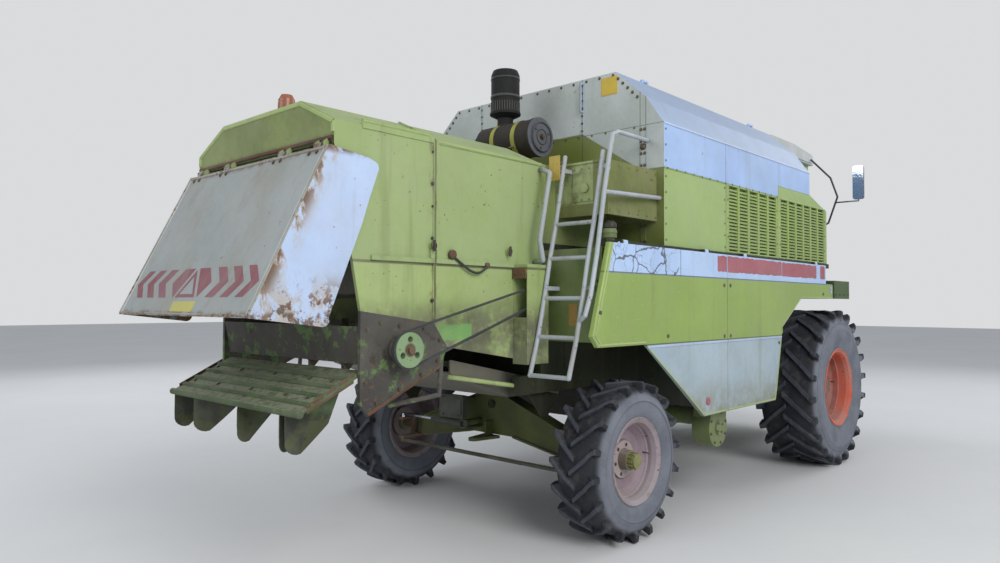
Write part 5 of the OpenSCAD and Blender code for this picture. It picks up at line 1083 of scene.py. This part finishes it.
# Ladder: grip ridges on the rungs, screwed feet
def ladder_grips():
    b = Build()
    for x, z in ((-4.624, 1.267), (-4.535, 1.540), (-4.464, 1.820), (-4.398, 2.114), (-4.330, 2.374)):
        for k in range(12):
            y = -1.345 + 0.0273 * k
            b.bead(at(x - 0.006, y, z + 0.0142), at(x + 0.006, y, z + 0.0142), UP, 0.008, 0.003)
    for y in (-1.02, -1.37):
        b.bolt(at(-4.45, y, 1.895), REARWARD, 0.012, 0.010, 1)
        b.bolt(at(-4.24, y, 2.795), REARWARD, 0.012, 0.010, 1)
    b.make("ladder_grips", "root", [pipe_white, bolt_iron], "white_paint")


# Painted sleeve over the grab tube between the hood and the ladder
def grab_tube_sleeve():
    b = Build()
    bends = ((-4.335, -0.875, 2.815), (-4.350, -0.980, 2.770), (-4.470, -0.980, 2.250),
             (-4.430, -0.980, 2.100), (-4.400, -0.875, 2.100))
    b.tube([at(*p) for p in bends], 0.0195, 14, 0, 0.015)
    b.make("grab_tube_sleeve", "root", [pipe_white], "white_paint")


def seal(b, loop, out):
    """A rubber seal round a pane."""
    points = [at(*p) for p in loop]
    for i, p in enumerate(points):
        b.bead(p, points[(i + 1) % len(points)], out, 0.024, 0.010)


# Cab: rubber seals round the panes, wiper, lamp rims and screws
def cab_seals():
    b = Build()
    side, rear, low, high = 0.80, 0.02, 2.56, 3.56
    seal(b, [(0.13, -side, low), (0.13, -side, high), (1.233, -side, high), (1.165, -side, low)], RIGHTWARD)
    seal(b, [(0.09, side, low), (0.09, side, high), (0.276, side, high), (0.276, side, low)], LEFTWARD)
    seal(b, [(rear, -0.68, 2.70), (rear, 0.68, 2.70), (rear, 0.68, high), (rear, -0.68, high)], REARWARD)
    windscreen = [(1.242, -0.74, 2.36), (1.242, 0.74, 2.36), (1.347, 0.74, 3.58), (1.347, -0.74, 3.58)]
    seal(b, windscreen, (1, 0, -0.09))
    # Wiper on the windscreen
    b.tube([at(1.356, 0.05, 3.56), at(1.368, 0.05, 3.56), at(1.330, 0.30, 3.02)], 0.007, 8)
    b.tube([at(1.345, 0.34, 3.30), at(1.290, 0.27, 2.72)], 0.008, 8)
    b.ring(at(1.352, 0.05, 3.56), FORWARD, 0.0, 0.022, 0.02)
    rim = [(0.046, 0.0), (0.058, 0.0), (0.056, 0.008), (0.046, 0.008)]
    for y in (-0.62, -0.38, 0.38, 0.62):
        b.turned(at(1.397, y, 3.56), FORWARD, rim, 32, 1)
    for s in (-1, 1):
        b.row(at(0.06, s * side, 2.14), at(1.16, s * side, 2.14), 6, (0, s, 0), 0.007, 0.004, 2)
    b.row(at(rear, -0.72, 2.15), at(rear, 0.72, 2.15), 7, REARWARD, 0.007, 0.004, 2)
    b.make("cab_seals", "root", [rubber, plastic, bolt_green], "grey_plastic")


def cab_door_fittings():
    b = Build()
    y = 0.796
    seal(b, [(0.436, y, 2.39), (0.436, y, 3.50), (1.168, y, 3.50), (1.098, y, 2.39)], LEFTWARD)
    b.plate(at(1.02, y + 0.0002, 2.30), REARWARD, UP, 0.11, 0.05, 0.012, 1)
    b.make("cab_door_fittings", "cab_door", [rubber, plastic], "grey_plastic")


for add_piece in (flap_markings, flap_edges, hood_screws, hood_handle, tank_screws, louvre_frames,
                  bay_fittings, cleaner_details, chopper_bolts, spreader_fittings, elevator_bolts,
                  long_bar, axle_box, chassis_pipes, ladder_grips, grab_tube_sleeve, cab_seals,
                  cab_door_fittings):
    add_piece()


def cushion(name, lo, hi, lean=0.0):
    """A rounded cushion with seams, from a subdivided box whose faces swell."""
    mesh = bpy.data.meshes.new(name)
    work = bmesh.new()
    bmesh.ops.create_cube(work, size=1.0)
    bmesh.ops.subdivide_edges(work, edges=work.edges[:], cuts=5, use_grid_fill=True)
    mid = [(a + c) / 2 for a, c in zip(lo, hi)]
    half = [(c - a) / 2 for a, c in zip(lo, hi)]
    roundness, seam_depth, seam_place, seam_width = 0.10, 0.035, 0.6, 0.12
    for v in work.verts:
        p = [2 * c for c in v.co]
        n = math.sqrt(sum(c * c for c in p)) / max(abs(c) for c in p)
        round_p = [c * (1 - roundness * (n - 1)) for c in p]
        at_seam = abs(abs(p[1]) - seam_place) < seam_width and abs(p[2]) > 0.9
        groove = seam_depth if at_seam else 0.0
        v.co = Vector([m + c * h for m, c, h in zip(mid, round_p, half)])
        v.co.z -= math.copysign(groove, p[2]) * half[2] if groove else 0.0
        v.co.x -= lean * (v.co.z - lo[2])
    work.to_mesh(mesh)
    work.free()
    for face in mesh.polygons:
        face.use_smooth = True
    mesh.materials.append(seat_cloth)
    obj = bpy.data.objects.new(name, mesh)
    bpy.context.scene.collection.objects.link(obj)
    soft = obj.modifiers.new("smooth", "SUBSURF")
    soft.levels = soft.render_levels = 1
    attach(obj, "root")


cushion("seat_cushion", (AXLE + 0.275, -0.265, 2.315), (AXLE + 0.805, 0.265, 2.455))
cushion("seat_back", (AXLE + 0.300, -0.255, 2.43), (AXLE + 0.425, 0.255, 3.055), 0.155)


# Clamp bolts of the auger's flanges
def auger_bolts():
    b = Build()
    for x in (-0.498, -1.60):
        for c, s in circle(10):
            b.bolt(at(x, 1.47 + 0.128 * c, 3.45 + 0.128 * s), REARWARD, 0.007, 0.006)
    b.make("auger_bolts", "auger_tube", [bolt_iron], "green_paint")


def lid_handles(word, s):
    b = Build()
    for x in (-2.9, -1.9, -0.9):
        bends = ((-0.07, 3.777), (-0.07, 3.812), (0.07, 3.812), (0.07, 3.777))
        b.tube([at(x + dx, s * 0.10, z) for dx, z in bends], 0.007, 8, 0, 0.02)
    b.make(f"lid_handles_{word}", f"tank_lid_{word}", [bolt_iron], "white_paint")


# Platform: step ridges, rail feet, ridges and bolts of the right-hand deck
def platform_grips():
    b = Build()
    for z in (0.5, 0.8, 1.1, 1.4, 1.7):
        for k in range(9):
            x = 0.955 + 0.049 * k
            b.bead(at(x, 1.352, z + 0.024), at(x, 1.468, z + 0.024), UP, 0.010, 0.003)
    deck = 2.06
    for x, y in ((0.23, 0.90), (0.23, 1.45), (0.33, 1.45), (1.44, 1.43)):
        b.turned(at(x, y, deck), UP, [(0.016, 0.0), (0.045, 0.0), (0.045, 0.005), (0.016, 0.012)], 20)
    for k in range(7):
        y = -1.40 + 0.085 * k
        b.bead(at(0.28, y, deck), at(0.75, y, deck), UP, 0.012, 0.003)
    b.row(at(0.30, -1.490, 1.90), at(0.73, -1.490, 1.90), 4, RIGHTWARD, 0.008, 0.005, 1)
    b.make("platform_grips", "root", [dark_green, bolt_iron], "dark_green_paint")


# Feeder house: bolts along its sides and ribs across its top
def feeder_bolts():
    b = Build()
    for s in (1, -1):
        for z0, x1, z1 in ((1.42, 1.90, 1.11), (1.13, 1.95, 0.57)):
            b.row(at(0.50, s * 0.660, z0), at(x1, s * 0.660, z1), 10, (0, s, 0), 0.008, 0.006)
    for k in range(5):
        x = 0.35 + 0.36 * k
        z = 1.62 - (x - 0.12) * 0.228
        b.bead(at(x, -0.62, z), at(x, 0.62, z), (0.22, 0, 0.97), 0.030, 0.012, 1)
    b.make("feeder_bolts", "feeder_house", [bolt_iron, olive], "green_paint")


auger_bolts()
lid_handles("left", 1)
lid_handles("right", -1)
platform_grips()
feeder_bolts()

# Camera at the photograph's place and angle
cam_data = bpy.data.cameras.new("photo_camera")
cam_data.sensor_width = 36.0
cam_data.lens = 26.65
camera = bpy.data.objects.new("photo_camera", cam_data)
bpy.context.scene.collection.objects.link(camera)
look = Vector((0.73240275, 0.6802334, 0.02947434))
right = Vector((0.68044828, -0.73278755, 0.00354147))
upward = Vector((-0.02400746, -0.01746198, 0.99955926))
turn = Matrix((right, upward, -look)).transposed().to_4x4()
camera.matrix_world = Matrix.Translation(Vector((-6.369, -4.496, 1.783))) @ turn
bpy.context.scene.camera = camera

# Pale floor, soft studio light
floor_mesh = bpy.data.meshes.new("floor")
work = bmesh.new()
bmesh.ops.create_grid(work, x_segments=24, y_segments=24, size=60.0)
work.to_mesh(floor_mesh)
work.free()
floor = bpy.data.objects.new("floor", floor_mesh)
bpy.context.scene.collection.objects.link(floor)
g = Look("floor_paint")
g.put(g.skin.inputs["Base Color"], g.tone((222, 223, 224), (217, 218, 220), 0.3))
g.put(g.skin.inputs["Roughness"], g.math("MULTIPLY_ADD", g.noise(3.0), 0.1, 0.8))
floor_mesh.materials.append(g.mat)

world = bpy.data.worlds.new("studio")
bpy.context.scene.world = world
world.use_nodes = True
tree = world.node_tree
tree.nodes.clear()
final = tree.nodes.new("ShaderNodeOutputWorld")
fill = tree.nodes.new("ShaderNodeBackground")
fill.inputs["Color"].default_value = (0.45, 0.47, 0.50, 1.0)
seen = tree.nodes.new("ShaderNodeBackground")
seen.inputs["Color"].default_value = (0.70, 0.71, 0.72, 1.0)
ray = tree.nodes.new("ShaderNodeLightPath")
pick = tree.nodes.new("ShaderNodeMixShader")
tree.links.new(ray.outputs["Is Camera Ray"], pick.inputs[0])
tree.links.new(fill.outputs[0], pick.inputs[1])
tree.links.new(seen.outputs[0], pick.inputs[2])
tree.links.new(pick.outputs[0], final.inputs[0])


def lamp(name, place, target, size, power, color=(1, 1, 1)):
    data = bpy.data.lights.new(name, "AREA")
    data.shape, data.size, data.energy, data.color = "DISK", size, power, color
    obj = bpy.data.objects.new(name, data)
    bpy.context.scene.collection.objects.link(obj)
    obj.location = place
    obj.rotation_euler = (Vector(target) - Vector(place)).to_track_quat("-Z", "Y").to_euler()


lamp("key", (-6.0, -13.0, 9.0), (0.0, 0.0, 1.6), 9.0, 1250.0, (1.0, 0.985, 0.96))
lamp("rear", (-15.0, 3.0, 8.0), (-3.0, 0.0, 1.5), 8.0, 420.0)
lamp("front", (13.0, -4.0, 9.0), (1.0, 0.0, 1.5), 8.0, 420.0)
lamp("left", (0.0, 14.0, 9.0), (0.0, 0.0, 1.5), 8.0, 420.0)

bpy.context.scene.view_settings.view_transform = "Standard"
